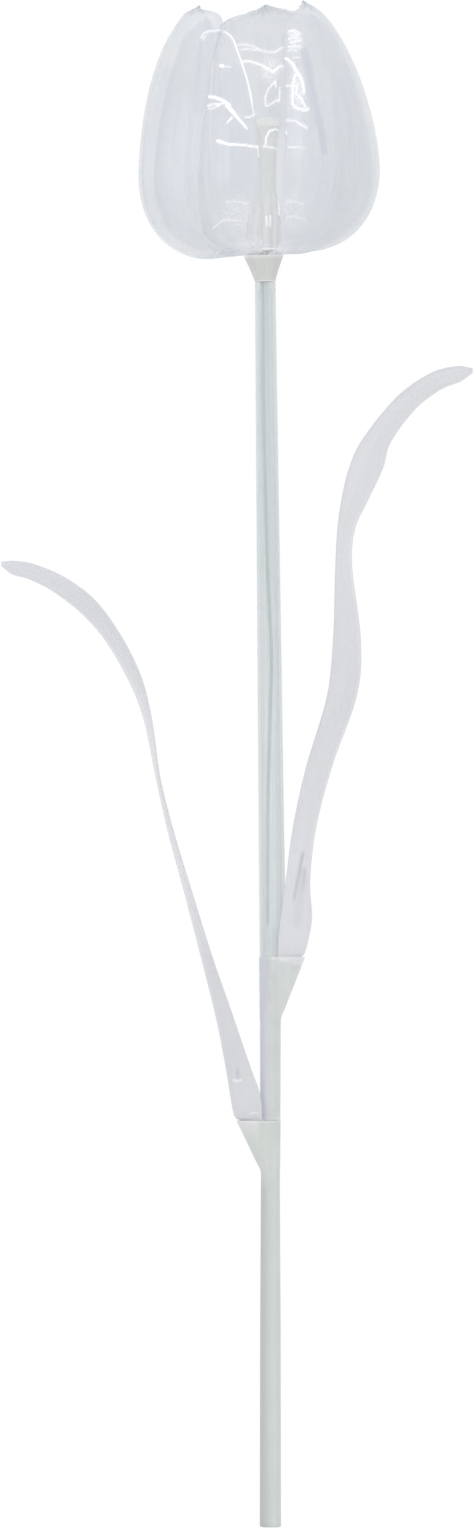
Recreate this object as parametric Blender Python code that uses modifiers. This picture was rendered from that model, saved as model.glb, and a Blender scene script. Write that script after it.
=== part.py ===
# Artificial tulip: a clear flower head on a plug-together stem with two plug-in leaves.
# Metres, +Z up the stem, origin at the centre of the stem's cut end, front of the flower towards -Y.

import math

import bmesh
import bpy
import numpy as np
from mathutils import Matrix, Vector

MM = 0.001

# Fits shared by every joint
GAP = 0.3 * MM  # clearance between neighbouring pieces
CUT_PAST = 1.0 * MM  # how far a cutter runs past the face that it opens
ROUND_STEPS = 32  # facets round a turned piece

# Lower stem section, milky
LOWER_LENGTH = 133.2 * MM
LOWER_FOOT_RADIUS = 3.5 * MM
LOWER_WAIST_RADIUS = 3.12 * MM
LOWER_WAIST_HEIGHT = 113.0 * MM
LOWER_BELLY_RADIUS = 3.37 * MM  # halfway up
LOWER_SOCKET_HEIGHT = 17.0 * MM  # the left leaf's flared socket, measured down from its mouth
LOWER_SOCKET_REACH = 11.2 * MM  # from the stem's axis to the socket's outer rim

# Middle stem section, between the leaves
MIDDLE_LENGTH = 53.4 * MM
MIDDLE_RADIUS = 3.28 * MM
MIDDLE_TOP_RADIUS = 3.5 * MM
MIDDLE_SOCKET_HEIGHT = 20.5 * MM
MIDDLE_SOCKET_REACH = 11.45 * MM
MIDDLE_BORE_RADIUS = 2.6 * MM
BORE_TAPER = 2.5 * MM  # the bore narrows into the spigot over this much above and below its root
MIDDLE_SPIGOT_RADIUS = 2.3 * MM  # plugs down into the lower section
MIDDLE_SPIGOT_LENGTH = 12.0 * MM
MIDDLE_SPIGOT_WALL = 0.6 * MM
TOP_SPIGOT_RADIUS = 3.1 * MM  # plugs up into the clear tube
TOP_SPIGOT_LENGTH = 10.0 * MM
TOP_SPIGOT_ROOT = 5.0 * MM  # how deep it is rooted in the section below it
TOP_SPIGOT_WALL = 0.45 * MM

# Upper stem section, a clear tapering tube
UPPER_LENGTH = 221.0 * MM
UPPER_FOOT_RADIUS = 4.27 * MM
UPPER_FOOT_HEIGHT = 22.0 * MM  # the tube starts to taper here
UPPER_MIDDLE_RADIUS = 3.95 * MM
UPPER_MIDDLE_HEIGHT = 99.5 * MM
UPPER_TOP_RADIUS = 3.38 * MM
UPPER_WALL = 0.87 * MM
UPPER_SIDE_STEP = 0.8 * MM  # the tube stands this far to the right of the lower axis
UPPER_LEAN_ANGLE = math.radians(0.65)  # leans to the left as it rises
UPPER_SPIGOT_RADIUS = 2.45 * MM  # plugs up into the receptacle
UPPER_SPIGOT_LENGTH = 4.2 * MM
UPPER_SPIGOT_WALL = 0.75 * MM

# Bending wires
WIRE_RADIUS = 0.6 * MM
WIRE_END_COVER = 3.0 * MM  # plastic left below the lower wire

# Flared leaf sockets and the leaves' feet
SOCKET_WALL = 0.9 * MM
SOCKET_SINK = 0.15 * MM  # the stem's core stays this far inside its socket's skin
SOCKET_LIP = 1.0 * MM  # and ends this far below the mouth
SOCKET_RINGS = 5
LEAF_WALL = 0.8 * MM
LEAF_FOOT_DEPTH = 5.0 * MM  # how deep a leaf's foot stands in its socket
RIGHT_FOOT_EDGE = 2.5 * MM  # from the stem's axis to the edges of the foot
LEFT_FOOT_EDGE = 2.8 * MM
LEAF_ROWS = 30
LEAF_COLUMNS = 6

# Flower head
HEAD_LEAN_ANGLE = math.radians(3.1)  # from the vertical, to the left
RECEPTACLE_HEIGHT = 8.4 * MM
RECEPTACLE_NECK_RADIUS = 3.5 * MM
RECEPTACLE_TOP_RADIUS = 6.6 * MM
PEG_RADIUS = 1.6 * MM
PEG_LENGTH = 3.8 * MM
PETAL_WALL = 0.9 * MM
PETAL_FOOT_RADIUS = 3.0 * MM  # inner end of a petal's foot
BOWL_RADIUS = 39.3 * MM  # widest part of the flower
BOWL_HEIGHT = 27.2 * MM  # from the feet up to the widest part
BOWL_FLAT_RADIUS = 16.5 * MM  # the bowl's bottom is flat out to here
BOWL_POWER = 0.95  # under 1, the bowl's curve is a little squarer than an ellipse
PETAL_HEIGHT = 82.6 * MM  # from the feet up to the outer petals' tips
TIP_RADIUS = 19.0 * MM  # the tips' distance from the flower's axis
LAYER_STEP = 1.5 * MM  # the inner petals lie this far inside the outer ones
LAYER_START = 7.0 * MM  # radius where the layers begin to part
LAYER_BLEND = 6.0 * MM  # radius that the parting takes
OUTER_CURL = 0.5 * MM  # how far the outer petals' edges bend out
INNER_CURL = -0.8 * MM  # the inner petals' edges bend in
LEFT_BELLY = 0.8 * MM  # the left outer petal's lower half swells out by this
RIGHT_BELLY = -0.4 * MM
PETAL_COLUMNS = 8
PETAL_ROWS = 24
NIB_LENGTH = 2.6 * MM  # small point at each petal's tip
NIB_RADIUS = 1.1 * MM
PETAL_SHOULDER_SHARE = 0.9  # share of a petal's length where its top starts to round off
RIGHT_SHOULDER_SHARE = 0.8  # the same for the right outer petal, whose top is rounder
FRONT_SHOULDER_SHARE = 0.94  # and for the front inner petal, whose top is round and has no point

# Pistil
PISTIL_HEIGHT = 44.0 * MM
PISTIL_FOOT_RADIUS = 5.9 * MM
PISTIL_FOOT_HEIGHT = 10.0 * MM  # the thick foot, below where it narrows to the stalk
PISTIL_STALK_START = 20.0 * MM
PISTIL_STALK_RADIUS = 3.6 * MM
PISTIL_LEAN_RATIO = 0.09  # sideways step per unit of height above its foot
PISTIL_BEND_START = 2.0 * MM
PISTIL_BEND_HEIGHT = 8.0 * MM  # the lean sets in over this height
LOBE_RADIUS = 2.6 * MM
LOBE_SPREAD = 1.8 * MM


def clear_scene():
    for item in list(bpy.data.objects):
        bpy.data.objects.remove(item)


def new_collection(name):
    collection = bpy.data.collections.new(name)
    bpy.context.scene.collection.children.link(collection)
    return collection


clear_scene()
PARTS = new_collection("artificial_tulip")
CUTTERS = new_collection("cutters")


def new_frame(name, parent, place, lean=0.0):
    """An empty that later pieces hang from; lean turns its +Z towards -X."""
    frame = bpy.data.objects.new(name, None)
    frame.empty_display_size = 10 * MM
    frame.parent = parent
    frame.location = place
    frame.rotation_euler = (0, -lean, 0)
    PARTS.objects.link(frame)
    return frame


TULIP = new_frame("tulip", None, (0, 0, 0))
MIDDLE_FRAME = new_frame("middle_frame", TULIP, (0, 0, LOWER_LENGTH + GAP))
UPPER_FRAME = new_frame(
    "upper_frame", MIDDLE_FRAME, (UPPER_SIDE_STEP, 0, MIDDLE_LENGTH + GAP), UPPER_LEAN_ANGLE
)
HEAD_FRAME = new_frame(
    "head_frame", UPPER_FRAME, (0, 0, UPPER_LENGTH + GAP), HEAD_LEAN_ANGLE - UPPER_LEAN_ANGLE
)


def plastic(name, colour, roughness, see_through):
    material = bpy.data.materials.new(name)
    material.use_nodes = True
    shader = material.node_tree.nodes["Principled BSDF"]
    shader.inputs["Base Color"].default_value = (*colour, 1)
    shader.inputs["Roughness"].default_value = roughness
    shader.inputs["Transmission Weight"].default_value = see_through
    shader.inputs["IOR"].default_value = 1.5
    return material


def steel(name):
    material = plastic(name, (0.2, 0.22, 0.24), 0.5, 0)
    material.node_tree.nodes["Principled BSDF"].inputs["Metallic"].default_value = 1
    return material


def add_piece(name, mesh, material, parent):
    piece = bpy.data.objects.new(name, mesh)
    piece.parent = parent
    mesh.materials.append(material)
    PARTS.objects.link(piece)
    return piece


def add_cutter(name, mesh, parent):
    cutter = bpy.data.objects.new(name, mesh)
    cutter.parent = parent
    cutter.display_type = "WIRE"
    cutter.hide_render = True
    CUTTERS.objects.link(cutter)
    return cutter


def combine(piece, other, operation):
    change = piece.modifiers.new(f"{operation.lower()}_{other.name}", "BOOLEAN")
    change.operation = operation
    change.solver = "EXACT"
    change.object = other


def shade_round(mesh):
    mesh.shade_smooth()
    mesh.set_sharp_from_angle(angle=math.radians(35))


def profile_mesh(name, points, closed):
    """A line of (radius, height) points in the XZ plane for a Screw modifier."""
    mesh = bpy.data.meshes.new(name)
    count = len(points)
    edges = [(i, i + 1) for i in range(count - 1)]
    if closed:
        edges.append((count - 1, 0))
    mesh.from_pydata([(radius, 0, height) for radius, height in points], edges, [])
    return mesh


def spin(piece):
    turn = piece.modifiers.new("turn", "SCREW")
    turn.steps = ROUND_STEPS
    turn.render_steps = ROUND_STEPS
    turn.use_merge_vertices = True
    turn.merge_threshold = 0.00001
    turn.use_smooth_shade = True


def capped(points):
    """Closes a profile onto its axis at the top and at the bottom."""
    return [(0, points[0][1]), *points, (0, points[-1][1])]


def turned_cutter(name, points, parent):
    cutter = add_cutter(name, profile_mesh(name, capped(points), False), parent)
    spin(cutter)
    return cutter


def smooth_rows(rows, places):
    """Rows of numbers on a smooth curve through the given rows; a place counts from row to row."""
    knots = np.array(rows, dtype=float)
    padded = np.vstack([2 * knots[0] - knots[1], knots, 2 * knots[-1] - knots[-2]])
    first = np.clip(np.floor(places).astype(int), 0, len(knots) - 2)
    t = (places - first)[..., None]
    a, b, c, d = (padded[first + k] for k in range(4))
    bend = (2 * a - 5 * b + 4 * c - d) * t**2 + (3 * b - a - 3 * c + d) * t**3
    return b + 0.5 * ((c - a) * t + bend)


def sheet_mesh(name, shape, columns, rows):
    """A grid whose corners run from -1 to 1 both ways, laid out by shape(across, along)."""
    sheet = bmesh.new()
    bmesh.ops.create_grid(sheet, x_segments=columns, y_segments=rows, size=1)
    for corner in sheet.verts:
        corner.co = shape(corner.co.x, corner.co.y)
    mesh = bpy.data.meshes.new(name)
    sheet.to_mesh(mesh)
    sheet.free()
    return mesh


def thicken(piece, thickness, outward=0.0):
    """Gives a sheet its wall: outward of it by the given amount, and the rest inward."""
    wall = piece.modifiers.new("wall", "SOLIDIFY")
    wall.thickness = thickness
    wall.offset = 2 * outward / thickness - 1
    wall.use_quality_normals = True


# Stem sections
def add_leaf_socket(stem, side, mouth, height, reach, stem_radius, half_width, parent):
    """Joins the flared cup that holds a leaf's foot: round at the bottom, oval at the mouth."""
    cup = bmesh.new()
    bmesh.ops.create_cone(
        cup, cap_ends=True, segments=ROUND_STEPS, radius1=1, radius2=1, depth=1
    )
    sides = [edge for edge in cup.edges if abs(edge.verts[0].co.z - edge.verts[1].co.z) > 0.5]
    bmesh.ops.subdivide_edges(cup, edges=sides, cuts=SOCKET_RINGS, use_grid_fill=True)
    start = stem_radius - SOCKET_SINK
    for corner in cup.verts:
        share = corner.co.z + 0.5
        far = start + (reach - start) * share
        near = start + 2 * SOCKET_SINK * share
        deep = start + (half_width - start) * math.sin(share * math.pi / 2)
        middle = (far - near) / 2
        corner.co.x = side * (middle + corner.co.x * (far + near) / 2)
        corner.co.y = corner.co.y * deep
        corner.co.z = mouth - height * (1 - share)
    if side < 0:
        bmesh.ops.reverse_faces(cup, faces=cup.faces[:])
    mesh = bpy.data.meshes.new(f"{stem.name}_socket")
    cup.to_mesh(mesh)
    cup.free()
    combine(stem, add_cutter(f"{stem.name}_socket", mesh, parent), "UNION")


def leaf_rows(foot, blade):
    """A leaf's rows in metres, with its foot's row at the socket's mouth put first.

    A row holds the edge nearest the stem (x, z), the midrib (x, z), half the width and the turn,
    which is 0 for a channel open to the stem and 1 for a blade turned to the front. Heights count
    from the socket's mouth, and x away from the stem.
    """
    edge, reach, stem_radius = foot
    midrib = reach - SOCKET_WALL - GAP
    half_width = stem_radius + GAP + LEAF_WALL
    first = (edge, 0, midrib, 0, half_width, 0)
    return np.array([first] + [tuple(value * MM for value in row[:5]) + row[5:] for row in blade])


def leaf_point(side, rows, slope, across, place, below=0.0):
    """A point on a leaf: place counts rows from the mouth, and below is a depth under it."""
    edge_x, edge_z, rib_x, rib_z, half_width, turn = smooth_rows(rows, np.array(place))
    front = np.array([edge_x, -half_width, edge_z])
    back_x = edge_x + (rib_x - edge_x) * turn
    back_z = edge_z + (rib_z - edge_z) * turn
    back = np.array([back_x, half_width, back_z])
    middle = (front + back) / 2
    rib = np.array([rib_x, 0, rib_z])
    rib += (middle - rib) * turn**3 * 0.25
    x, y, z = rib + (back - front) / 2 * across + (middle - rib) * across**2
    return Vector((side * (x - below * slope), side * y, z - below))


def add_leaf(name, stem, side, frame, mouth, foot, slope, blade, material):
    """Adds a leaf and cuts the slot for its foot in the stem section that carries it."""
    leaf_frame = new_frame(f"{name}_frame", frame, (0, 0, mouth))
    rows = leaf_rows(foot, blade)
    foot_share = 2 / LEAF_ROWS  # the share of the sheet's rows that make the foot

    def blade_shape(across, along):
        share = (along + 1) / 2
        if share < foot_share:
            return leaf_point(side, rows, slope, across, 0, LEAF_FOOT_DEPTH * (1 - share / foot_share))
        place = (share - foot_share) / (1 - foot_share) * (len(rows) - 1)
        return leaf_point(side, rows, slope, across, place)

    mesh = sheet_mesh(name, blade_shape, LEAF_COLUMNS, LEAF_ROWS)
    shade_round(mesh)
    leaf = add_piece(name, mesh, material, leaf_frame)
    thicken(leaf, LEAF_WALL)

    def slot_shape(across, along):
        top = GAP * 4
        below = (LEAF_FOOT_DEPTH + GAP) * (1 - along) / 2 - top * (1 + along) / 2
        return leaf_point(side, rows, slope, across * (1 + GAP / rows[0][4]), 0, below)

    slot = add_cutter(f"{name}_slot", sheet_mesh(f"{name}_slot", slot_shape, LEAF_COLUMNS, 1), leaf_frame)
    thicken(slot, LEAF_WALL + 2 * GAP, GAP)
    combine(stem, slot, "DIFFERENCE")


def add_lower_stem(material):
    outline = [
        (MIDDLE_RADIUS - SOCKET_SINK, LOWER_LENGTH - SOCKET_LIP),
        (LOWER_WAIST_RADIUS, LOWER_WAIST_HEIGHT),
        (LOWER_BELLY_RADIUS, LOWER_LENGTH / 2),
        (LOWER_FOOT_RADIUS, 0),
    ]
    stem = add_piece("lower_stem", profile_mesh("lower_stem", capped(outline), False), material, TULIP)
    spin(stem)
    add_leaf_socket(
        stem, -1, LOWER_LENGTH, LOWER_SOCKET_HEIGHT, LOWER_SOCKET_REACH,
        LOWER_WAIST_RADIUS, socket_half_width(MIDDLE_RADIUS), TULIP,
    )
    hole = MIDDLE_SPIGOT_RADIUS + GAP
    floor = LOWER_LENGTH - MIDDLE_SPIGOT_LENGTH - 2 * GAP
    wire_hole = WIRE_RADIUS + GAP
    bore = [
        (hole, LOWER_LENGTH + CUT_PAST),
        (hole, floor),
        (wire_hole, floor),
        (wire_hole, WIRE_END_COVER),
    ]
    combine(stem, turned_cutter("lower_bore", bore, TULIP), "DIFFERENCE")
    return stem


def socket_half_width(stem_radius):
    """Half of a leaf socket's depth, front to back: the leaf's foot, a gap and a wall."""
    return stem_radius + LEAF_WALL + 2 * GAP + SOCKET_WALL


def add_middle_stem(material):
    outline = [
        (MIDDLE_TOP_RADIUS, MIDDLE_LENGTH - SOCKET_LIP),
        (MIDDLE_RADIUS, 0),
        (MIDDLE_SPIGOT_RADIUS, 0),
        (MIDDLE_SPIGOT_RADIUS, -MIDDLE_SPIGOT_LENGTH),
    ]
    stem = add_piece(
        "middle_stem", profile_mesh("middle_stem", capped(outline), False), material, MIDDLE_FRAME
    )
    spin(stem)
    add_leaf_socket(
        stem, 1, MIDDLE_LENGTH, MIDDLE_SOCKET_HEIGHT, MIDDLE_SOCKET_REACH,
        MIDDLE_TOP_RADIUS, socket_half_width(UPPER_FOOT_RADIUS), MIDDLE_FRAME,
    )
    spigot = [(TOP_SPIGOT_RADIUS, TOP_SPIGOT_LENGTH - GAP), (TOP_SPIGOT_RADIUS, -TOP_SPIGOT_ROOT)]
    combine(stem, turned_cutter("middle_top_spigot", spigot, UPPER_FRAME), "UNION")
    narrow = MIDDLE_SPIGOT_RADIUS - MIDDLE_SPIGOT_WALL
    bore = [
        (MIDDLE_BORE_RADIUS, MIDDLE_LENGTH - SOCKET_LIP / 2),
        (MIDDLE_BORE_RADIUS, BORE_TAPER),
        (narrow, -BORE_TAPER),
        (narrow, -MIDDLE_SPIGOT_LENGTH - CUT_PAST),
    ]
    combine(stem, turned_cutter("middle_bore", bore, MIDDLE_FRAME), "DIFFERENCE")
    top_hole = TOP_SPIGOT_RADIUS - TOP_SPIGOT_WALL
    top_bore = [(top_hole, TOP_SPIGOT_LENGTH + CUT_PAST), (top_hole, -TOP_SPIGOT_ROOT / 2)]
    combine(stem, turned_cutter("middle_top_bore", top_bore, UPPER_FRAME), "DIFFERENCE")
    return stem


def add_upper_stem(material):
    spigot_hole = UPPER_SPIGOT_RADIUS - UPPER_SPIGOT_WALL
    spigot_top = UPPER_LENGTH + UPPER_SPIGOT_LENGTH
    foot_hole = TOP_SPIGOT_RADIUS + GAP
    outline = [
        (UPPER_SPIGOT_RADIUS, spigot_top),
        (UPPER_SPIGOT_RADIUS, UPPER_LENGTH),
        (UPPER_TOP_RADIUS, UPPER_LENGTH),
        (UPPER_MIDDLE_RADIUS, UPPER_MIDDLE_HEIGHT),
        (UPPER_FOOT_RADIUS, UPPER_FOOT_HEIGHT),
        (UPPER_FOOT_RADIUS, 0),
        (foot_hole, 0),
        (foot_hole, TOP_SPIGOT_LENGTH + GAP),
        (UPPER_MIDDLE_RADIUS - UPPER_WALL, UPPER_MIDDLE_HEIGHT),
        (UPPER_TOP_RADIUS - UPPER_WALL, UPPER_LENGTH - 3 * UPPER_WALL),
        (spigot_hole, UPPER_LENGTH - UPPER_WALL),
        (spigot_hole, spigot_top),
    ]
    tube = add_piece("upper_stem", profile_mesh("upper_stem", outline, True), material, UPPER_FRAME)
    spin(tube)
    return tube


def add_wire(name, route, frame, material):
    """A bending wire along a smooth route of (x, z) points in its section's frame."""
    points = smooth_rows(route, np.linspace(0, len(route) - 1, 3 * len(route)))
    line = bpy.data.curves.new(name, "CURVE")
    line.dimensions = "3D"
    line.bevel_depth = WIRE_RADIUS
    line.bevel_resolution = 2
    line.use_fill_caps = True
    path = line.splines.new("POLY")
    path.points.add(len(points) - 1)
    for spot, (x, z) in zip(path.points, points):
        spot.co = (x, 0, z, 1)
    line.materials.append(material)
    wire = bpy.data.objects.new(name, line)
    wire.parent = frame
    PARTS.objects.link(wire)
    return wire


# Bends of the two visible wires: sideways in mm, at shares of their sections' lengths
MIDDLE_WIRE_BENDS = [(-1.85, 0.06), (-1.85, 0.4), (-1.85, 0.75)]
UPPER_WIRE_BENDS = [
    (-1.4, 0.12), (-1.0, 0.24), (0.0, 0.36), (0.6, 0.45), (-0.4, 0.59), (-1.1, 0.80), (-0.9, 0.93),
]


def wire_slack(spigot_radius, spigot_wall):
    """How far from a spigot's axis its wire can lie."""
    return spigot_radius - spigot_wall - GAP - WIRE_RADIUS


def add_wires(material):
    lower_top = LOWER_LENGTH - MIDDLE_SPIGOT_LENGTH - 4 * GAP
    add_wire("lower_wire", [(0, WIRE_END_COVER + GAP), (0, lower_top)], TULIP, material)
    foot_x = -wire_slack(MIDDLE_SPIGOT_RADIUS, MIDDLE_SPIGOT_WALL)
    top_x = UPPER_SIDE_STEP - wire_slack(TOP_SPIGOT_RADIUS, TOP_SPIGOT_WALL)
    middle_route = [
        (foot_x, -MIDDLE_SPIGOT_LENGTH + GAP),
        (foot_x, -1.5 * BORE_TAPER),
        *[(x * MM, share * MIDDLE_LENGTH) for x, share in MIDDLE_WIRE_BENDS],
        (top_x, MIDDLE_LENGTH),
        (top_x, MIDDLE_LENGTH + TOP_SPIGOT_LENGTH),
    ]
    add_wire("middle_wire", middle_route, MIDDLE_FRAME, material)
    head_x = -wire_slack(UPPER_SPIGOT_RADIUS, UPPER_SPIGOT_WALL)
    upper_route = [
        (-1.6 * MM, TOP_SPIGOT_LENGTH + GAP),
        *[(x * MM, share * UPPER_LENGTH) for x, share in UPPER_WIRE_BENDS],
        (head_x, UPPER_LENGTH),
        (head_x, UPPER_LENGTH + UPPER_SPIGOT_LENGTH - GAP),
    ]
    add_wire("upper_wire", upper_route, UPPER_FRAME, material)


# Leaves: rows of edge x, edge z, midrib x, midrib z, half width (mm) and turn
RIGHT_BLADE = [
    (2.7, 5.5, 12.6, 6.0, 5.5, 0),
    (3.4, 12.0, 13.7, 13.4, 5.8, 0),
    (5.3, 25.6, 13.1, 25.5, 6.8, 0),
    (7.6, 42.4, 15.2, 43.0, 8.4, 0),
    (11.9, 62.0, 20.5, 63.0, 10.2, 0),
    (18.5, 84.2, 28.5, 86.0, 11.8, 0),
    (20.7, 104.0, 29.7, 104.0, 12.4, 0.1),
    (21.4, 125.0, 26.9, 127.5, 12.2, 0.2),
    (22.1, 139.0, 27.8, 140.0, 12.0, 0.3),
    (23.4, 149.5, 32.4, 150.2, 11.6, 0.35),
    (25.9, 160.0, 37.0, 160.0, 11.0, 0.4),
    (30.3, 169.4, 39.6, 168.5, 10.4, 0.5),
    (41.5, 183.2, 47.5, 179.2, 8.8, 0.7),
    (52.5, 191.0, 55.5, 185.6, 6.6, 0.85),
    (61.0, 193.4, 62.4, 188.8, 4.2, 1),
    (66.3, 192.9, 66.3, 191.5, 0.9, 1),
]
LEFT_BLADE = [
    (2.9, 3.2, 12.3, 3.2, 4.5, 0),
    (3.6, 9.0, 13.3, 8.7, 4.9, 0),
    (7.0, 18.3, 14.9, 18.6, 5.8, 0),
    (12.7, 34.8, 18.1, 34.6, 7.4, 0),
    (19.2, 53.2, 23.6, 56.5, 9.0, 0),
    (26.1, 75.0, 28.5, 75.4, 10.2, 0),
    (32.2, 94.3, 33.9, 95.5, 10.8, 0),
    (36.9, 112.7, 37.7, 112.7, 11.0, 0.05),
    (39.1, 130.7, 41.5, 131.0, 11.0, 0.15),
    (42.4, 144.8, 46.2, 143.4, 10.8, 0.3),
    (48.7, 158.0, 53.8, 156.6, 10.2, 0.5),
    (57.5, 170.3, 62.0, 166.0, 9.0, 0.65),
    (67.6, 178.0, 71.5, 173.4, 7.2, 0.8),
    (77.4, 182.2, 79.0, 177.3, 5.0, 0.9),
    (84.0, 183.4, 84.6, 179.2, 2.8, 1),
    (88.3, 183.1, 88.3, 181.9, 0.9, 1),
]


def add_leaves(lower_stem, middle_stem, material):
    add_leaf(
        "right_leaf", middle_stem, 1, MIDDLE_FRAME, MIDDLE_LENGTH,
        (RIGHT_FOOT_EDGE, MIDDLE_SOCKET_REACH, UPPER_FOOT_RADIUS),
        (MIDDLE_SOCKET_REACH - MIDDLE_TOP_RADIUS) / MIDDLE_SOCKET_HEIGHT,
        RIGHT_BLADE, material,
    )
    add_leaf(
        "left_leaf", lower_stem, -1, TULIP, LOWER_LENGTH,
        (LEFT_FOOT_EDGE, LOWER_SOCKET_REACH, MIDDLE_RADIUS),
        (LOWER_SOCKET_REACH - LOWER_WAIST_RADIUS) / LOWER_SOCKET_HEIGHT,
        LEFT_BLADE, material,
    )


# Flower head
def add_receptacle(material):
    lean_room = UPPER_SPIGOT_LENGTH * math.sin(HEAD_LEAN_ANGLE - UPPER_LEAN_ANGLE)
    socket = UPPER_SPIGOT_RADIUS + GAP + lean_room
    ceiling = UPPER_SPIGOT_LENGTH
    peg_hole = PEG_RADIUS + GAP
    flare = []
    for share in np.linspace(1, 0, 6):
        radius = RECEPTACLE_NECK_RADIUS + (RECEPTACLE_TOP_RADIUS - RECEPTACLE_NECK_RADIUS) * share**1.2
        flare.append((float(radius), float(RECEPTACLE_HEIGHT * share)))
    outline = [
        (peg_hole, RECEPTACLE_HEIGHT),
        *flare,
        (socket, 0),
        (socket, ceiling),
        (peg_hole, ceiling),
    ]
    cup = add_piece("receptacle", profile_mesh("receptacle", outline, True), material, HEAD_FRAME)
    spin(cup)
    return cup


def petal_line(count=400):
    """The outer petals' outer face from foot to tip, as radius and height in even steps."""
    foot = RECEPTACLE_HEIGHT + GAP
    flat = np.array([[PETAL_FOOT_RADIUS, foot], [BOWL_FLAT_RADIUS, foot]])
    angle = np.linspace(0, math.pi / 2, count)[1:, None]
    wide = BOWL_RADIUS - BOWL_FLAT_RADIUS
    bowl_radius = BOWL_FLAT_RADIUS + wide * np.sin(angle) ** BOWL_POWER
    bowl_height = foot + BOWL_HEIGHT * (1 - np.cos(angle) ** BOWL_POWER)
    bowl = np.hstack([bowl_radius, bowl_height])
    rise = PETAL_HEIGHT - BOWL_HEIGHT
    handles = np.array(
        [
            [BOWL_RADIUS, foot + BOWL_HEIGHT],
            [BOWL_RADIUS, foot + BOWL_HEIGHT + rise * 0.31],
            [TIP_RADIUS + (BOWL_RADIUS - TIP_RADIUS) * 0.62, foot + BOWL_HEIGHT + rise * 0.87],
            [TIP_RADIUS, foot + PETAL_HEIGHT],
        ]
    )
    t = np.linspace(0, 1, count)[1:, None]
    weights = np.hstack([(1 - t) ** 3, 3 * t * (1 - t) ** 2, 3 * t**2 * (1 - t), t**3])
    line = np.vstack([flat, bowl, weights @ handles])
    steps = np.linalg.norm(np.diff(line, axis=0), axis=1)
    length = np.concatenate([[0], np.cumsum(steps)])
    even = np.linspace(0, length[-1], count)
    return np.column_stack([np.interp(even, length, line[:, k]) for k in (0, 1)]), length[-1]


PETAL_LINE, PETAL_LENGTH = petal_line()
SHARES = np.linspace(0, 1, len(PETAL_LINE))
OUTWARD = np.gradient(PETAL_LINE, axis=0)[:, ::-1] * (1, -1)
OUTWARD /= np.linalg.norm(OUTWARD, axis=1)[:, None]

# Shares of a petal's rows and of its length: rows are closer together in the bowl and at the tip
ROW_SPACING = ((0, 0.1, 0.35, 0.6, 0.72, 1), (0, 0.08, 0.35, 0.7, 0.88, 1))


def petal_point(across, along, azimuth, angles, turns, reach, step_in, curl, belly, shoulder, pointed):
    """A point on a petal: along runs from -1 at its foot to 1 at its tip, across from edge to edge.

    turns are degrees round the flower: from foot to tip, and late in the upper half. reach is the
    share of the flower's outline that the petal covers. curl bends its edges out, and belly swells its
    lower half. shoulder is the share of its length where its top starts to round off.
    """
    share = float(np.interp((along + 1) / 2, *ROW_SPACING))
    place = share * reach
    radius, height = (float(np.interp(place, SHARES, PETAL_LINE[:, k])) for k in (0, 1))
    out_r, out_z = (float(np.interp(place, SHARES, OUTWARD[:, k])) for k in (0, 1))
    half = math.radians(float(np.interp(share, *angles)))
    if share > shoulder:
        nib = NIB_LENGTH / PETAL_LENGTH
        rounding = min((share - shoulder) / (1 - nib * pointed - shoulder), 1)
        nib_half = NIB_RADIUS * min(1 + 2 * (1 - share) / nib, 3) / radius
        half = max(half * math.sqrt(1 - rounding**3), nib_half)
    inset = step_in * min(max((radius - LAYER_START) / LAYER_BLEND, 0), 1)
    free = 0
    if share < shoulder:
        free = math.sin(math.pi * share / shoulder) ** 0.5
    swell = belly * math.sin(math.pi * min(share / 0.6, 1)) ** 2
    shift = curl * across**2 * free - inset + swell
    radius += out_r * shift
    height += out_z * shift
    twist, tip_turn = turns
    turned = azimuth + twist * (share - 0.5) + tip_turn * max(2 * share - 1, 0) ** 4
    angle = math.radians(turned) + half * across
    return Vector((radius * math.cos(angle), radius * math.sin(angle), height))


# Half of a petal's angle round the flower at shares of its length
OUTER_ANGLES = ((0, 0.06, 0.13, 0.35, 0.6, 1), (22, 23, 30, 38, 39, 41))
INNER_ANGLES = ((0, 0.09, 0.25, 0.4, 0.55, 0.8, 1), (20, 22, 28, 25, 21, 18, 15))
FRONT_ANGLES = ((0, 0.09, 0.25, 0.5, 0.65, 0.8, 0.9, 1), (19, 20, 20.5, 19.8, 18.6, 16.4, 14, 13))

# Name, azimuth, turns, reach, angles, belly, shoulder, and whether it is an inner petal and has a point
PETALS = [
    ("outer_petal_left", 202, (13, 0), 0.996, OUTER_ANGLES, LEFT_BELLY, PETAL_SHOULDER_SHARE, False, True),
    ("outer_petal_right", 321, (24, 0), 0.993, OUTER_ANGLES, RIGHT_BELLY, RIGHT_SHOULDER_SHARE, False, True),
    ("outer_petal_back", 74, (0, 0), 1.0, OUTER_ANGLES, 0, PETAL_SHOULDER_SHARE, False, True),
    ("inner_petal_front", 250.5, (6, -13), 0.904, FRONT_ANGLES, 0, FRONT_SHOULDER_SHARE, True, False),
    ("inner_petal_right", 20, (4, 0), 0.955, INNER_ANGLES, 0, PETAL_SHOULDER_SHARE, True, True),
    ("inner_petal_back", 137, (-6, 0), 0.965, INNER_ANGLES, 0, PETAL_SHOULDER_SHARE, True, True),
]


def add_petals(material):
    for name, azimuth, turns, reach, angles, belly, shoulder, inner, pointed in PETALS:
        step_in = LAYER_STEP if inner else 0
        curl = INNER_CURL if inner else OUTER_CURL

        def shape(across, along):
            return petal_point(
                across, along, azimuth, angles, turns, reach, step_in, curl, belly, shoulder, pointed
            )

        mesh = sheet_mesh(name, shape, PETAL_COLUMNS, PETAL_ROWS)
        shade_round(mesh)
        thicken(add_piece(name, mesh, material, HEAD_FRAME), PETAL_WALL)


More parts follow.
